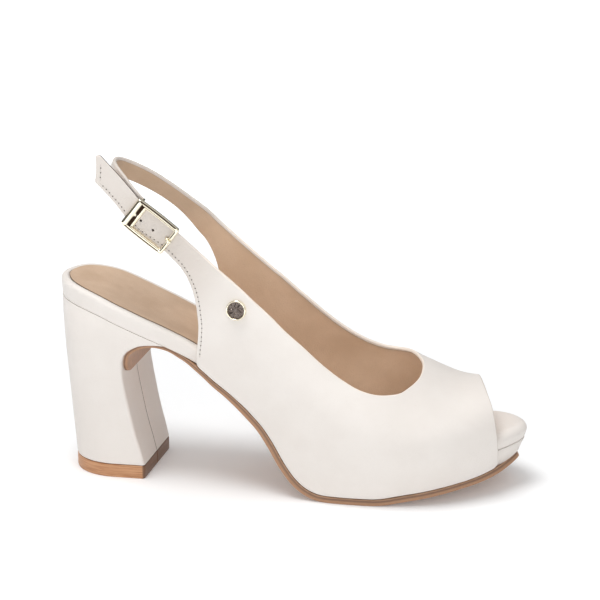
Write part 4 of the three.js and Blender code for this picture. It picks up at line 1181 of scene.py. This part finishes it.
def edge_line(first, last, inset):
    """A line along the upper's face at a distance from its lower edge."""
    rows = upper_face[first:last + 1]
    along = unit(np.gradient(rows[:, 0], axis=0))
    inwards = unit(rows[:, 2] - rows[:, 0])
    slant = np.sqrt(np.maximum(1 - (along * inwards).sum(1) ** 2, 0.2))
    line = [
        [np.interp(inset / part, length, row[:, axis]) for axis in range(3)]
        for part, length, row in zip(slant, row_lengths(rows), rows)
    ]
    return Line(line, normals(rows)[:, 3])


def make_stitches():
    """The stitches along the upper's edges and across the strap's tip, dark discs of painted shade in
    their needle holes, and a disc of painted shade in the depth of each hole of the strap."""
    quarter = STRETCHES[0][3] * FINE
    tip_rows = 4
    runs = [
        edge_line(tip_rows, first_shell + quarter - 2, STITCH_INSET),
        edge_line(last_shell - quarter + 2, len(upper_face) - 12, STITCH_INSET),
    ]
    tip = upper_face[tip_rows]
    inside = slice(int(COLUMNS * 0.28), int(COLUMNS * 0.88))
    runs.append(Line(tip[inside], normals(upper_face)[tip_rows, inside]))
    stitch = capsule(STITCH_PITCH * 0.8, THREAD / 2)
    pit = closed_rings([circle(10, PIT_LENGTH / 2 * r, PIT_WIDTH / 2 * r, z) for r, z in PIT_PROFILE])
    threads, pits = [], []
    for line in runs:
        count = max(int(line.length / STITCH_PITCH), 2)
        threads += row_of(stitch, line, (np.arange(count) + 0.5) / count, 0.02)
        pits += row_of(pit, line, np.arange(1, count) / count)
    # Discs of painted shade in the depth of the strap's holes
    for place in hole_places:
        rings = [circle(20, r, r, z) + (*place, 0) for r, z in SHADE_DISC_PROFILE]
        points, faces = closed_rings(rings)
        pits.append((placed(points, buckle_seat()), faces))
    add_piece("upper_stitches", joined(threads), THREAD_WHITE)
    add_piece("upper_hole_shade", joined(pits), HOLE_SHADE)


# Layers of the sole
PLAN_STEPS = 180
PLAN_ACROSS = 16
SHEET_SIZE = (PLAN_STEPS + 1) * (PLAN_ACROSS + 1)
RING_SIZE = 2 * (PLAN_STEPS + PLAN_ACROSS)


class Plan:
    """Matching points on the two sides of the board's outline, from back to toe, to be moved inwards.
    An end that isn't given is the outline's own."""

    def __init__(self, start=None, stop=None):
        whole = Outline(lambda share: 0)
        low, high = start or whole.back, stop or whole.toe
        step = np.linspace(0, 1, PLAN_STEPS + 1)
        if start:
            step = np.sin(step * math.pi / 2)
        elif stop:
            step = 1 - np.cos(step * math.pi / 2)
        else:
            step = (1 - np.cos(step * math.pi)) / 2
        x = lerp(low, high, step)
        self.cut = (start is not None, stop is not None)
        self.sides, runs = [], []
        for side in whole.sides:
            dense = Line(side)
            runs.append(dense.ahead(np.interp(x, side[:, 0], dense.share)))
            self.sides.append(np.stack([x, np.interp(x, *side.T)], 1))
        inward = [np.stack([-run[:, 1], run[:, 0]], 1) for run in runs]
        inward[1] = -inward[1]
        for end, cut in ((0, start), (-1, stop)):
            if cut is None:
                inward[0][end] = inward[1][end] = (1 if end == 0 else -1, 0)
        self.inward = inward

    def grid(self, inset, level):
        """Points over the whole layer, in rows across the foot."""
        edges = []
        for line, inward in zip(self.sides, self.inward):
            move = np.broadcast_to(inset(share_at(line[:, 0])), len(line))[:, None]
            edge = line + inward * move
            if self.cut[0]:
                edge[0, 0] = line[0, 0] + move[0, 0]
            if self.cut[1]:
                edge[-1, 0] = line[-1, 0] - move[-1, 0]
            edges.append(edge)
        t = np.linspace(0, 1, PLAN_ACROSS + 1)[None, :, None]
        flat = lerp(edges[0][:, None], edges[1][:, None], t)
        return np.concatenate([flat, level(flat[..., :1])], 2)


def border(grid):
    """The points round a grid's edge."""
    return np.concatenate([grid[:, 0], grid[-1, 1:-1], grid[::-1, -1], grid[0, -2:0:-1]])


def slab(plan, profile, dish=None):
    """A layer of the sole: SHEET_SIZE points of its top and as many of its bottom, then RING_SIZE points
    of its edge for each inset and level in its profile, from top to bottom."""
    grids = [plan.grid(inset, level) for inset, level in profile]
    top, bottom = grids[0], grids[-1]
    if dish:
        across = np.linspace(-1, 1, top.shape[1])[None]
        wide = abs(top[:, -1:, 1] - top[:, :1, 1]) > 0.01
        top[..., 2] -= dish(top[..., 0]) * (1 - across ** 2) * wide
    rings = np.stack([border(grid) for grid in grids])
    rows, columns = top.shape[:2]
    return joined([
        (top.reshape(-1, 3), grid_faces(rows, columns)),
        (bottom.reshape(-1, 3), grid_faces(rows, columns)),
        (rings.reshape(-1, 3), grid_faces(*rings.shape[:2], wrap=True)),
    ])


def rounding(inset, level, radius, turns, top=True, height=None):
    """Steps of a rounded edge, as insets and levels. Its radius, and its height where that differs, are
    functions of the share of the length."""
    height = height or radius
    steps = []
    for turn in np.radians(turns):
        away, down = 1 - math.sin(turn), (1 - math.cos(turn)) * (-1 if top else 1)
        steps.append((
            lambda share, away=away: inset(share) + radius(share) * away,
            lambda x, down=down: level(x) + height(share_at(x)) * down,
        ))
    return steps


SOCK_END = at(SOCK_REACH)


def heel_dish(x):
    """The foot's bed is slightly hollow at the heel."""
    return SEAT_DISH * (1 - smooth(share_at(x), 0.12, 0.4)) * smooth(share_at(x), 0, 0.06)


def make_board():
    def low(share):
        return tuck(share) * (1 - 0.45 * smooth(share, 0.4, 0.7) - 0.23 * smooth(share, 0.85, 0.97))

    def sunk(x):
        return board_top(x) - SOCK_SUNK * (1 - smooth(x, SOCK_END, SOCK_END + 1))

    def radius(share):
        return lerp(BOARD_ROUNDING, TOE_ROUNDING, smooth(share, 0.75, 0.93))

    def height(share):
        return lerp(BOARD_ROUNDING, TOE_DROP, smooth(share, 0.75, 0.93))

    def rim(share):
        return SOCK_INSET - BOARD_ROUNDING + radius(share)

    def wall_level(part):
        return lambda x: lerp(board_top(x) - height(share_at(x)), board_low(x) + 0.5, part)

    profile = [
        (lambda share: rim(share) + 0.15, sunk),
        (lambda share: rim(share), lambda x: lerp(board_top(x), sunk(x), 0.55)),
        (lambda share: rim(share) - 0.25, lambda x: lerp(board_top(x), sunk(x), 0.12)),
    ]
    turns = (0, 12, 24, 36, 48, 60, 75, 90)
    profile += rounding(lambda share: 0, board_top, radius, turns, height=height)
    profile += [
        (lambda share, size=size: size * low(share), wall_level(part))
        for size, part in ((0.15, 0.2), (0.4, 0.5), (0.7, 0.8))
    ]
    profile += rounding(low, board_low, lambda share: 0.45, (90, 65, 40, 15, 0), top=False)
    points, faces = slab(Plan(), profile, heel_dish)
    # Painted shade through the seam mask: in the groove round the sock, growing from the back of the seat
    # forwards, and along the board's lower edge ahead of the sock, where it meets the platform
    ring = (np.arange(len(points)) - 2 * SHEET_SIZE) // RING_SIZE
    groove = (ring >= 0) & (ring < 2) & (points[:, 0] < SOCK_END)
    low_edge = (ring >= len(profile) - 4) & (points[:, 0] > SOCK_END)
    depth = groove * lerp(0.3, 0.7, smooth(share_at(points[:, 0]), 0.03, 0.2))
    masks = {"seam": np.maximum(depth, low_edge * 0.4)}
    body = (points, faces)
    add_piece("insole_board_cover", body, LEATHER, "insole_board", masks, crisp=70)


def make_sock():
    def top(x):
        return board_top(x) + SOCK_THICKNESS - SOCK_SUNK

    def under(x):
        return board_top(x) - SOCK_SUNK + 0.05

    def edge(share):
        return SOCK_INSET + SEAM_GAP

    profile = rounding(edge, top, lambda share: 0.5, (0, 20, 45, 70, 90))
    profile += [(edge, under)]
    body = slab(Plan(stop=SOCK_END), profile, heel_dish)
    # Painted shade on the sock's edge, below the first steps of its rounding
    shaded_edge = np.arange(len(body[0])) >= 2 * SHEET_SIZE + 2 * RING_SIZE
    masks = {"side": np.where(shaded_edge, 1, 0)}
    add_piece("insole_sock_leather", body, SOCK_LEATHER, "insole_sock", masks, crisp=70)


def make_platform():
    def top(x):
        return board_low(x) - 0.05

    def bottom(x):
        return outsole_top(x) + 0.05

    def edge(share):
        return tuck(share) * lerp(0.7, 0.36, smooth(share, 0.85, 0.97)) - 0.35

    def low_edge(share):
        return tuck(share) - SEAM_GAP

    start = at(0.3)
    while top(start) - bottom(start) < PLATFORM_STARTS:
        start += 0.5
    profile = rounding(edge, top, lambda share: 0.4, (0, 30, 60, 90))
    profile += [
        (lambda share: (edge(share) + low_edge(share)) / 2, lambda x: lerp(top(x), bottom(x), 0.5)),
        (low_edge, bottom),
    ]
    body = slab(Plan(start=start), profile)
    add_piece("platform_cover", body, LEATHER, "platform", crisp=70)


# Heel
heel_lean = column(HEEL, "lean", "level")
heel_flare = column(HEEL, "flare", "level")
heel_spread = column(HEEL, "spread", "level")
heel_seat = Outline(lambda share: HEEL_INSET)
SEAM_DEPTH = 0.5
SEAM_HALF = 0.3


def heel_top(x):
    return board_low(x) - 0.06


def breast_x(level):
    shaft = TIP_DEPTH / 2 + heel_lean(level) * TIP_DEPTH
    return lerp(shaft, at(LIP_REACH), heel_flare(level))


def heel_z(x, level):
    return lerp(TIP_HEIGHT + SEAM_GAP, heel_top(x), level)


def breast_point(level):
    x = breast_x(level)
    return np.stack([x, 0 * x, heel_z(x, level)], -1)


def tip_half_width(share):
    """Half an oval up to a straight stretch: the half width at a share of the depth from the back."""
    t = np.clip(share / 0.6, 0, 1)
    return TIP_WIDTH / 2 * (1 - (1 - t) ** 2.1) ** (1 / 2.1)


def heel_side(level, sign):
    """One side of the heel at a level, from its front corner to the middle of its back."""
    back = lerp(-TIP_DEPTH / 2, heel_seat.back, heel_spread(level))
    share = 1 - np.cos(np.linspace(math.pi / 2, 0, 160))
    x = lerp(back, breast_x(level), share)
    seat_x = lerp(heel_seat.back, at(LIP_REACH), share)
    twist = BREAST_TWIST / 2 * smooth(share, 0.5, 1) * (1 - heel_flare(level))
    seat_y = (heel_seat.outer if sign < 0 else heel_seat.inner)(seat_x)
    y = lerp(sign * tip_half_width(share), seat_y, heel_spread(level))
    return np.stack([x + sign * twist, y, heel_z(x, level)], 1)


def half_ring(level, sign, middle):
    """From the seam in the middle of the breast round one rounded corner to the middle of the back."""
    side = heel_side(level, sign)
    if level == 0:
        side[-1, 1] = 0
    flat = Line(np.stack([middle, side[0]]))
    close = np.array([0, 0.12, 0.24, 0.4, 0.7, 1.2]) / flat.length
    radius = 1.5
    across = np.concatenate([close, np.linspace(2, flat.length - radius, 12) / flat.length])
    walk = Line(side)
    t = np.linspace(0, 1, 9)[1:, None]
    start, stop = flat.point(across[-1]), walk.point(radius / walk.length)
    corner = (1 - t) ** 2 * start + 2 * t * (1 - t) * side[0] + t ** 2 * stop
    rest = walk.point(lerp(radius / walk.length, 1, np.linspace(0, 1, 61)[1:]))
    ring = np.concatenate([flat.point(across), corner, rest])
    seam = peak(across * flat.length, 0, SEAM_HALF) * SEAM_DEPTH * (1 - heel_flare(level))
    ring[:len(across), 0] -= seam
    return ring


def heel_ring(level):
    middle = (heel_side(level, -1)[0] + heel_side(level, 1)[0]) / 2
    outer, inner = half_ring(level, -1, middle), half_ring(level, 1, middle)
    outer[-1] = inner[-1] = (outer[-1] + inner[-1]) / 2
    return np.concatenate([outer, inner[-2:0:-1]])


def make_heel():
    levels = np.concatenate([[0, 0.003, 0.008], np.linspace(0.016, 1, 110)])
    rings = np.stack([heel_ring(level) for level in levels])
    middle = rings.mean(1, keepdims=True)
    pull = np.ones(len(levels))
    pull[:3] = (0.985, 0.995, 0.999)
    rings[..., :2] = lerp(middle, rings, pull[:, None, None])[..., :2]
    seam = np.zeros(rings.shape[:2])
    seam[:, [0, 1, 2, -1, -2]] = 1
    mask = np.concatenate([seam.ravel(), [0, 0]])
    add_piece("heel_cover", closed_rings(rings), LEATHER, "heel", {"seam": mask})


def make_top_piece():
    ring = heel_ring(0)
    rows = ((0, 1 - TIP_CHAMFER / TIP_DEPTH), (0.25, 0.994), (TIP_CHAMFER, 1), (TIP_HEIGHT / 2, 1),
            (TIP_HEIGHT - 0.3, 1), (TIP_HEIGHT, 0.994))
    rings = np.stack([ring * (size, size, 0) + (0, 0, z) for z, size in rows])
    ahead = rings[..., 0] - rings[..., 1] * BREAST_TWIST / TIP_WIDTH
    front = smooth(ahead, TIP_DEPTH / 2 - 1.4, TIP_DEPTH / 2 - 0.7)
    masks = {"side": np.append(front.ravel(), [0, 0])}
    add_piece("heel_tip", closed_rings(rings), TIP_RUBBER, "top_piece", masks)


# Outsole
SOLE_ROUND = 0.45
SOLE_ACROSS = 13


def outsole_line():
    """The outsole's upper face in side view, from the tongue's end up the heel breast, under the lip
    and out to the toe, and the distance where it leaves the breast."""
    levels = np.arange(TONGUE_LEVEL, 0.97, 0.03)
    climb = breast_point(levels)
    edge = Outline(sole_inset)
    turns = np.linspace(0, math.pi / 2, 45)
    x = lerp(at(LIP_REACH) + 2, edge.toe, np.sin(turns))
    path = np.concatenate([climb, np.stack([x, 0 * x, outsole_top(x)], 1)])
    rough = Line(path)
    down = np.cross(rough.ahead(rough.share), (0, -1, 0))
    number = np.arange(len(path))
    on_heel = 1 - smooth(number, len(climb) - 4, len(climb) + 1)
    lifted = Line(catmull(path + down * (SEAM_GAP * on_heel)[:, None]))
    leaves = rough.share[len(climb)] * rough.length
    return lifted, edge, leaves


def make_outsole():
    line, edge, leaves = outsole_line()
    reach = line.length
    climb = np.concatenate([[0, 0.15, 0.4, 0.8, 1.3], np.linspace(2, leaves, 40)])
    beyond = leaves + (reach - SOLE_SHORT - leaves) * np.sin(np.linspace(0, math.pi / 2, 200))[1:]
    distance = np.concatenate([climb, beyond])
    top = line.point(distance / reach)
    down = np.cross(line.ahead(distance / reach), (0, -1, 0))
    depth = outsole_depth(top[:, 0])
    on_heel = 1 - smooth(distance, leaves - 8, leaves + 3)
    corner = 1 - np.clip(distance / TONGUE_CORNER, 0, 1)
    tongue = TONGUE_WIDTH / 2 - TONGUE_CORNER * (1 - np.sqrt(1 - corner ** 2))
    widen = smooth(distance, leaves - 7, leaves + 6)
    left = lerp(-tongue, edge.outer(top[:, 0]), widen)
    right = lerp(tongue, edge.inner(top[:, 0]), widen)
    width = right - left
    soft = np.minimum(SOLE_ROUND, width * 0.4)
    across = np.linspace(0, 1, SOLE_ACROSS)
    rows = [(left + t * width, 0 * depth) for t in across]
    rows += [(right, depth * 0.35), (right, depth * 0.7), (right, depth - soft),
             (right - 0.3 * soft, depth - 0.3 * soft)]
    rows += [(left + soft + t * (width - 2 * soft), depth) for t in across[::-1]]
    rows += [(left + 0.3 * soft, depth - 0.3 * soft), (left, depth - soft), (left, depth * 0.7),
             (left, depth * 0.35)]
    rings = []
    for y, deep in rows:
        slide = y * BREAST_TWIST / TIP_WIDTH * on_heel
        point = top + down * deep[:, None]
        rings.append(np.stack([point[:, 0] + slide, y, np.maximum(point[:, 2], 0)], 1))
    rings = np.stack(rings, 1)
    flat = [0] * SOLE_ACROSS
    side = flat + [1, 1, 1, 0.6] + flat + [0.6, 1, 1, 1]
    fall = flat + [0.35, 0.7, 0.9, 1] + [1] * SOLE_ACROSS + [1, 0.9, 0.7, 0.35]
    masks = {
        name: np.append(np.broadcast_to(values, rings.shape[:2]).ravel(), ends)
        for name, values, ends in (("side", side, [1, 0]), ("down", fall, [1, 1]))
    }
    add_piece("outsole_leather", closed_rings(rings), SOLE_LEATHER, "outsole", masks)


# Hardware
def bar_profile(width, depth, corners=12, power=0.55):
    """Section of a cast bar: a flat back and a rounded front, as places across it and heights."""
    turns = np.linspace(0, math.pi, corners)
    across = -np.sign(np.cos(turns)) * np.abs(np.cos(turns)) ** power
    return (across + 1) / 2 * width, np.sin(turns) ** power * depth


def rounded_box(size, centre, soft=0.25):
    """A small block with softened edges."""
    work = bmesh.new()
    bmesh.ops.create_cube(work, size=1, matrix=Matrix.Translation(centre) @ Matrix.Diagonal((*size, 1)))
    bmesh.ops.bevel(work, geom=work.edges[:], offset=soft, segments=3, profile=0.5, affect="EDGES")
    points = np.array([vertex.co[:] for vertex in work.verts])
    faces = [[vertex.index for vertex in face.verts] for face in work.faces]
    work.free()
    return points, faces


def corner_loop(length, width, radius, steps=6):
    """A rounded rectangle, anticlockwise from its front right corner, with its corners as arcs."""
    loop = []
    for number, (x, y) in enumerate(((1, -1), (1, 1), (-1, 1), (-1, -1))):
        turns = np.linspace(-math.pi / 2, 0, steps) + number * math.pi / 2
        loop.append(np.stack([x * (length - radius) + np.cos(turns) * radius,
                              y * (width - radius) + np.sin(turns) * radius], 1))
    return loop


def make_buckle():
    """The cast frame: a wide domed plate at the back, rails and a front bar with a raised inner rim, and
    under the plate two legs that carry the sling's bar. All of it is turned about its front end."""
    length, width = BUCKLE_LENGTH / 2, BUCKLE_WIDTH / 2
    outer = corner_loop(length, width, 1.1)
    middle = (BUCKLE_PLATE - BUCKLE_BAR) / 2
    inner = corner_loop(length - (BUCKLE_PLATE + BUCKLE_BAR) / 2, width - BUCKLE_BAR, 0.5)
    outer_loop, inner_loop = [], []
    for number in range(4):
        outer_loop.append(outer[number])
        inner_loop.append(inner[number] + (middle, 0))
        follow = (number + 1) % 4
        for t in np.linspace(0, 1, 22)[1:-1]:
            outer_loop.append(lerp(outer[number][-1], outer[follow][0], t)[None])
            inner_loop.append((lerp(inner[number][-1], inner[follow][0], t) + (middle, 0))[None])
    outer_loop, inner_loop = np.concatenate(outer_loop), np.concatenate(inner_loop)
    outer_loop[:, 1] += np.sign(outer_loop[:, 1]) * 0.35 * (1 - (outer_loop[:, 0] / length) ** 2)
    # Places across a bar go from 0 at its outer edge to 1 at its inner one, for its form and for its
    # painted dark reflections and shade
    across, height = bar_profile(1, BUCKLE_DEPTH, 22)
    rim = peak(across, 0.86, 0.07)
    gap = peak(across, 0.72, 0.06)
    rings, shades = [], []
    for far, near in zip(outer_loop, inner_loop):
        plate = smooth(-far[0], length - 3.2, length - 1.2)
        plate = plate * (1 - smooth(abs(far[1]), width - 0.6, width))
        front = smooth(far[0], length - 1.6, length - 0.9)
        low = far[0] > length - 0.5 and abs(far[1]) < 1
        dome = lerp(1, 1 - 0.42 * smooth(across, 0.3, 0.8), plate)
        rise = height * dome - 0.2 * gap + 0.08 * rim
        rise = np.minimum(rise, BUCKLE_DEPTH - (PRONG_DEPTH * 0.6 if low else 0))
        flat = lerp(far, near, across[:, None])
        rings.append(np.concatenate([flat, (SEAM_GAP + np.maximum(rise, 0))[:, None]], 1))
        # Painted dark reflections: a line along each rail and a band on the plate's inner half, lighter
        # in its middle, none on the front bar; and painted shade in the groove by the inner rim
        rail = peak(across, 0.26, 0.14) if far[1] > 0 else peak(across, 0.34, 0.09)
        band = smooth(across, 0.42, 0.5) * (1 - smooth(across, 0.76, 0.82))
        band = band * (1 - 0.75 * peak(far[1], 0, 0.9))
        shade = lerp(rail, band, plate) * (1 - front)
        shades.append(np.maximum(shade, 0.8 * gap))
    rings = np.stack(rings)
    count, size = rings.shape[:2]
    around = np.concatenate([rings, rings[:1]])
    shades = np.concatenate([shades, shades[:1]])
    ring_body = (around.reshape(-1, 3), grid_faces(count + 1, size, wrap=True))
    bar_x = BAR_SETBACK + BAR_SIZE / 2 - length
    bar_z = -UPPER_WALL - LAYER_GAP - BAR_SIZE / 2
    parts = [ring_body]
    top = SEAM_GAP + LEG_TOP
    for side in (-1, 1):
        size = (BAR_SIZE, LEG_WIDTH, top - bar_z + BAR_SIZE / 2)
        centre = (bar_x, side * (width - LEG_WIDTH / 2), (top + bar_z - BAR_SIZE / 2) / 2)
        parts.append(rounded_box(size, centre))
    parts.append(rounded_box((BAR_SIZE, BUCKLE_WIDTH - 1, BAR_SIZE), (bar_x, 0, bar_z), 0.5))
    points, faces = joined(parts)
    x, y = points[:, 0] - length, points[:, 1]
    cosine, sine = math.cos(BUCKLE_TURN), math.sin(BUCKLE_TURN)
    points = np.stack([length + x * cosine - y * sine, x * sine + y * cosine, points[:, 2]], 1)
    body = (placed(points, buckle_seat()), faces)
    shade = np.zeros(len(points))
    shade[:shades.size] = shades.ravel()
    add_piece("buckle_frame_cast", body, GOLD, "buckle_frame", {"shade": shade}, crisp=60)


def make_prong():
    """A round wire from the sling's bar, up through the first hole and over the front bar."""
    rise = FIRST_HOLE
    low = -UPPER_WALL - SEAM_GAP - PRONG_DEPTH / 2
    high = SEAM_GAP + BUCKLE_DEPTH - PRONG_DEPTH * 0.35
    start = BAR_SETBACK + BAR_SIZE + SEAM_GAP - BUCKLE_LENGTH / 2
    tip = BUCKLE_LENGTH / 2 + PRONG_OVERHANG
    route = [
        (start, 0, low), (lerp(start, rise, 0.5), 0, low), (rise - 1.2, 0, low),
        (rise, 0, low + 0.9), (rise, 0, high - 0.9), (rise + 0.9, 0, high), (tip, 0, high - 0.1),
    ]
    line = Line(catmull(route, fine=30))
    turns = np.linspace(0, 2 * math.pi, 14, endpoint=False)
    rings = []
    for share in np.linspace(0, 1, 60):
        along = line.ahead(share)
        out = np.cross(along, (0, 1, 0))
        girth = min(1, math.sqrt(max(0.04, (1 - share) * 12)), math.sqrt(max(0.04, share * 30)))
        circle = np.cos(turns)[:, None] * np.array([0, PRONG_WIDTH / 2, 0])
        circle = circle + np.sin(turns)[:, None] * out * PRONG_DEPTH / 2
        rings.append(line.point(share) + circle * girth)
    points, faces = closed_rings(np.stack(rings))
    body = (placed(points, buckle_seat()), faces)
    add_piece("buckle_prong_wire", body, GOLD, "buckle_prong")


def lathe(profile, sides=72, lift=None):
    """Rings of a turned body, from a profile of radii and heights, with a relief on it."""
    turns = np.linspace(0, 2 * math.pi, sides, endpoint=False)[None]
    r, z = np.array(profile).T[:, :, None]
    height = z + (lift(r, turns) if lift else 0 * turns)
    return np.stack([r * np.cos(turns), r * np.sin(turns), height], -1)


def make_stud():
    outer = STUD_DIAMETER / 2
    inner = outer - STUD_RIM
    turns = np.linspace(0, math.pi, 9)
    bead = [(lerp(inner, outer, (1 + math.cos(t)) / 2), STUD_HEIGHT - 0.4 + 0.4 * math.sin(t))
            for t in turns]
    profile = [(outer, 0.05)] + bead + [(inner, 0.05)]
    rings = lathe(profile)
    around = np.concatenate([rings, rings[:1]])
    faces = grid_faces(*around.shape[:2], wrap=True)
    body = (placed(around.reshape(-1, 3), stud_seat()), faces)
    add_piece("stud_rim_turned", body, GOLD, "stud_rim", crisp=60)

    radius = inner - 0.05

    def rosette(r, turn):
        petals = np.cos(turn * 8) * peak(r, radius * 0.62, radius * 0.24)
        ring = peak(r, radius * 0.3, 0.16)
        beads = np.cos(turn * 24) * peak(r, radius * 0.92, 0.2)
        return (0.24 * petals + 0.2 * ring + 0.12 * beads) * (r < radius - 0.01) * (r > 0.05)

    steps = np.linspace(1, 0.02, 26)
    profile = [(radius, 0.1)] + [(radius * s, STUD_HEIGHT - 0.75 + 0.4 * (1 - s * s)) for s in steps]
    rings = lathe(profile, 144, rosette)
    points, faces = closed_rings(rings)
    add_piece("stud_disc_relief", (placed(points, stud_seat()), faces), PEWTER, "stud_disc",
              crisp=60)


make_outsole()
make_platform()
make_board()
make_sock()
make_heel()
make_top_piece()
make_upper()
make_lining()
make_stitches()
make_buckle()
make_prong()
make_stud()


# Stage, light and camera, in metres
FLOOR_REACH = 6


def make_floor():
    mesh = bpy.data.meshes.new("floor")
    corners = [(x * FLOOR_REACH, y * FLOOR_REACH, 0) for x, y in ((-1, -1), (1, -1), (1, 1), (-1, 1))]
    mesh.from_pydata(corners, [], [(0, 1, 2, 3)])
    material, tree, place = blank("glowing_pale_floor", Roughness=0.9, Specular_IOR_Level=0.2)
    shader = tree.nodes["Principled BSDF"]
    tint = blend(tree, noise(tree, place, 3, 2), (0.9, 0.9, 0.905), (0.92, 0.92, 0.92))
    tree.links.new(tint, shader.inputs["Base Color"])
    # The floor glows, though it is no lamp: faintly and bluish near the shoe, which lifts and cools the
    # shadow under it, and more strongly further out, so that the floor reads white
    distance = node(tree, "ShaderNodeVectorMath", {0: place}, operation="LENGTH").outputs["Value"]
    shader.inputs["Emission Color"].default_value = (0.88, 0.95, 1, 1)
    tree.links.new(ramp(tree, distance, 0.15, 0.7, 0.12, 0.7), shader.inputs["Emission Strength"])
    mesh.materials.append(material)
    add_object("floor", mesh)


def soft_light(name, place, target, size, power, colour=(1, 1, 1)):
    data = bpy.data.lights.new(name, "AREA")
    data.shape = "DISK"
    data.size = size
    data.energy = power
    data.color = colour
    light = add_object(name, data)
    light.location = place
    light.rotation_euler = (Vector(target) - Vector(place)).to_track_quat("-Z", "Y").to_euler()


# The photo's view, at the middle of the shoe, in metres and in millimetres of lens
AIM = Vector((0.0881, 0.0042, 0.0846))
CAMERA_AZIMUTH = math.radians(10.2)
CAMERA_ELEVATION = math.radians(17)
CAMERA_DISTANCE = 1.15
CAMERA_LENS = 147.5


def make_camera():
    data = bpy.data.cameras.new("camera")
    data.lens = CAMERA_LENS
    data.sensor_width = 36
    data.clip_start, data.clip_end = 0.05, 30
    back = Vector((
        math.sin(CAMERA_AZIMUTH) * math.cos(CAMERA_ELEVATION),
        -math.cos(CAMERA_AZIMUTH) * math.cos(CAMERA_ELEVATION),
        math.sin(CAMERA_ELEVATION),
    ))
    camera = add_object("camera", data)
    camera.location = AIM + back * CAMERA_DISTANCE
    camera.rotation_euler = (-back).to_track_quat("-Z", "Y").to_euler()
    bpy.context.scene.camera = camera


def make_world():
    world = bpy.data.worlds.new("studio")
    world.use_nodes = True
    tree = world.node_tree
    back = tree.nodes["Background"]
    back.inputs["Color"].default_value = (1, 0.995, 0.99, 1)
    direction = node(tree, "ShaderNodeTexCoord").outputs["Generated"]
    height = node(tree, "ShaderNodeSeparateXYZ", {"Vector": direction}).outputs["Z"]
    above = ramp(tree, height, 0.25, 0.5, 0.1, 0.55)
    below = ramp(tree, height, 0.0, 0.04, 0.6, 0)
    tree.links.new(maths(tree, "MAXIMUM", above, below), back.inputs["Strength"])
    bpy.context.scene.world = world


make_floor()
make_world()
make_camera()
soft_light("key", (0.05, -1.45, 0.5), AIM, 0.9, 3.6)
soft_light("fill", (0.8, -1.2, 0.7), AIM, 1.2, 2.2)
soft_light("top", (-0.2, -0.25, 1.6), (0.09, 0, 0), 0.8, 14)
bpy.context.scene.view_settings.view_transform = "Standard"
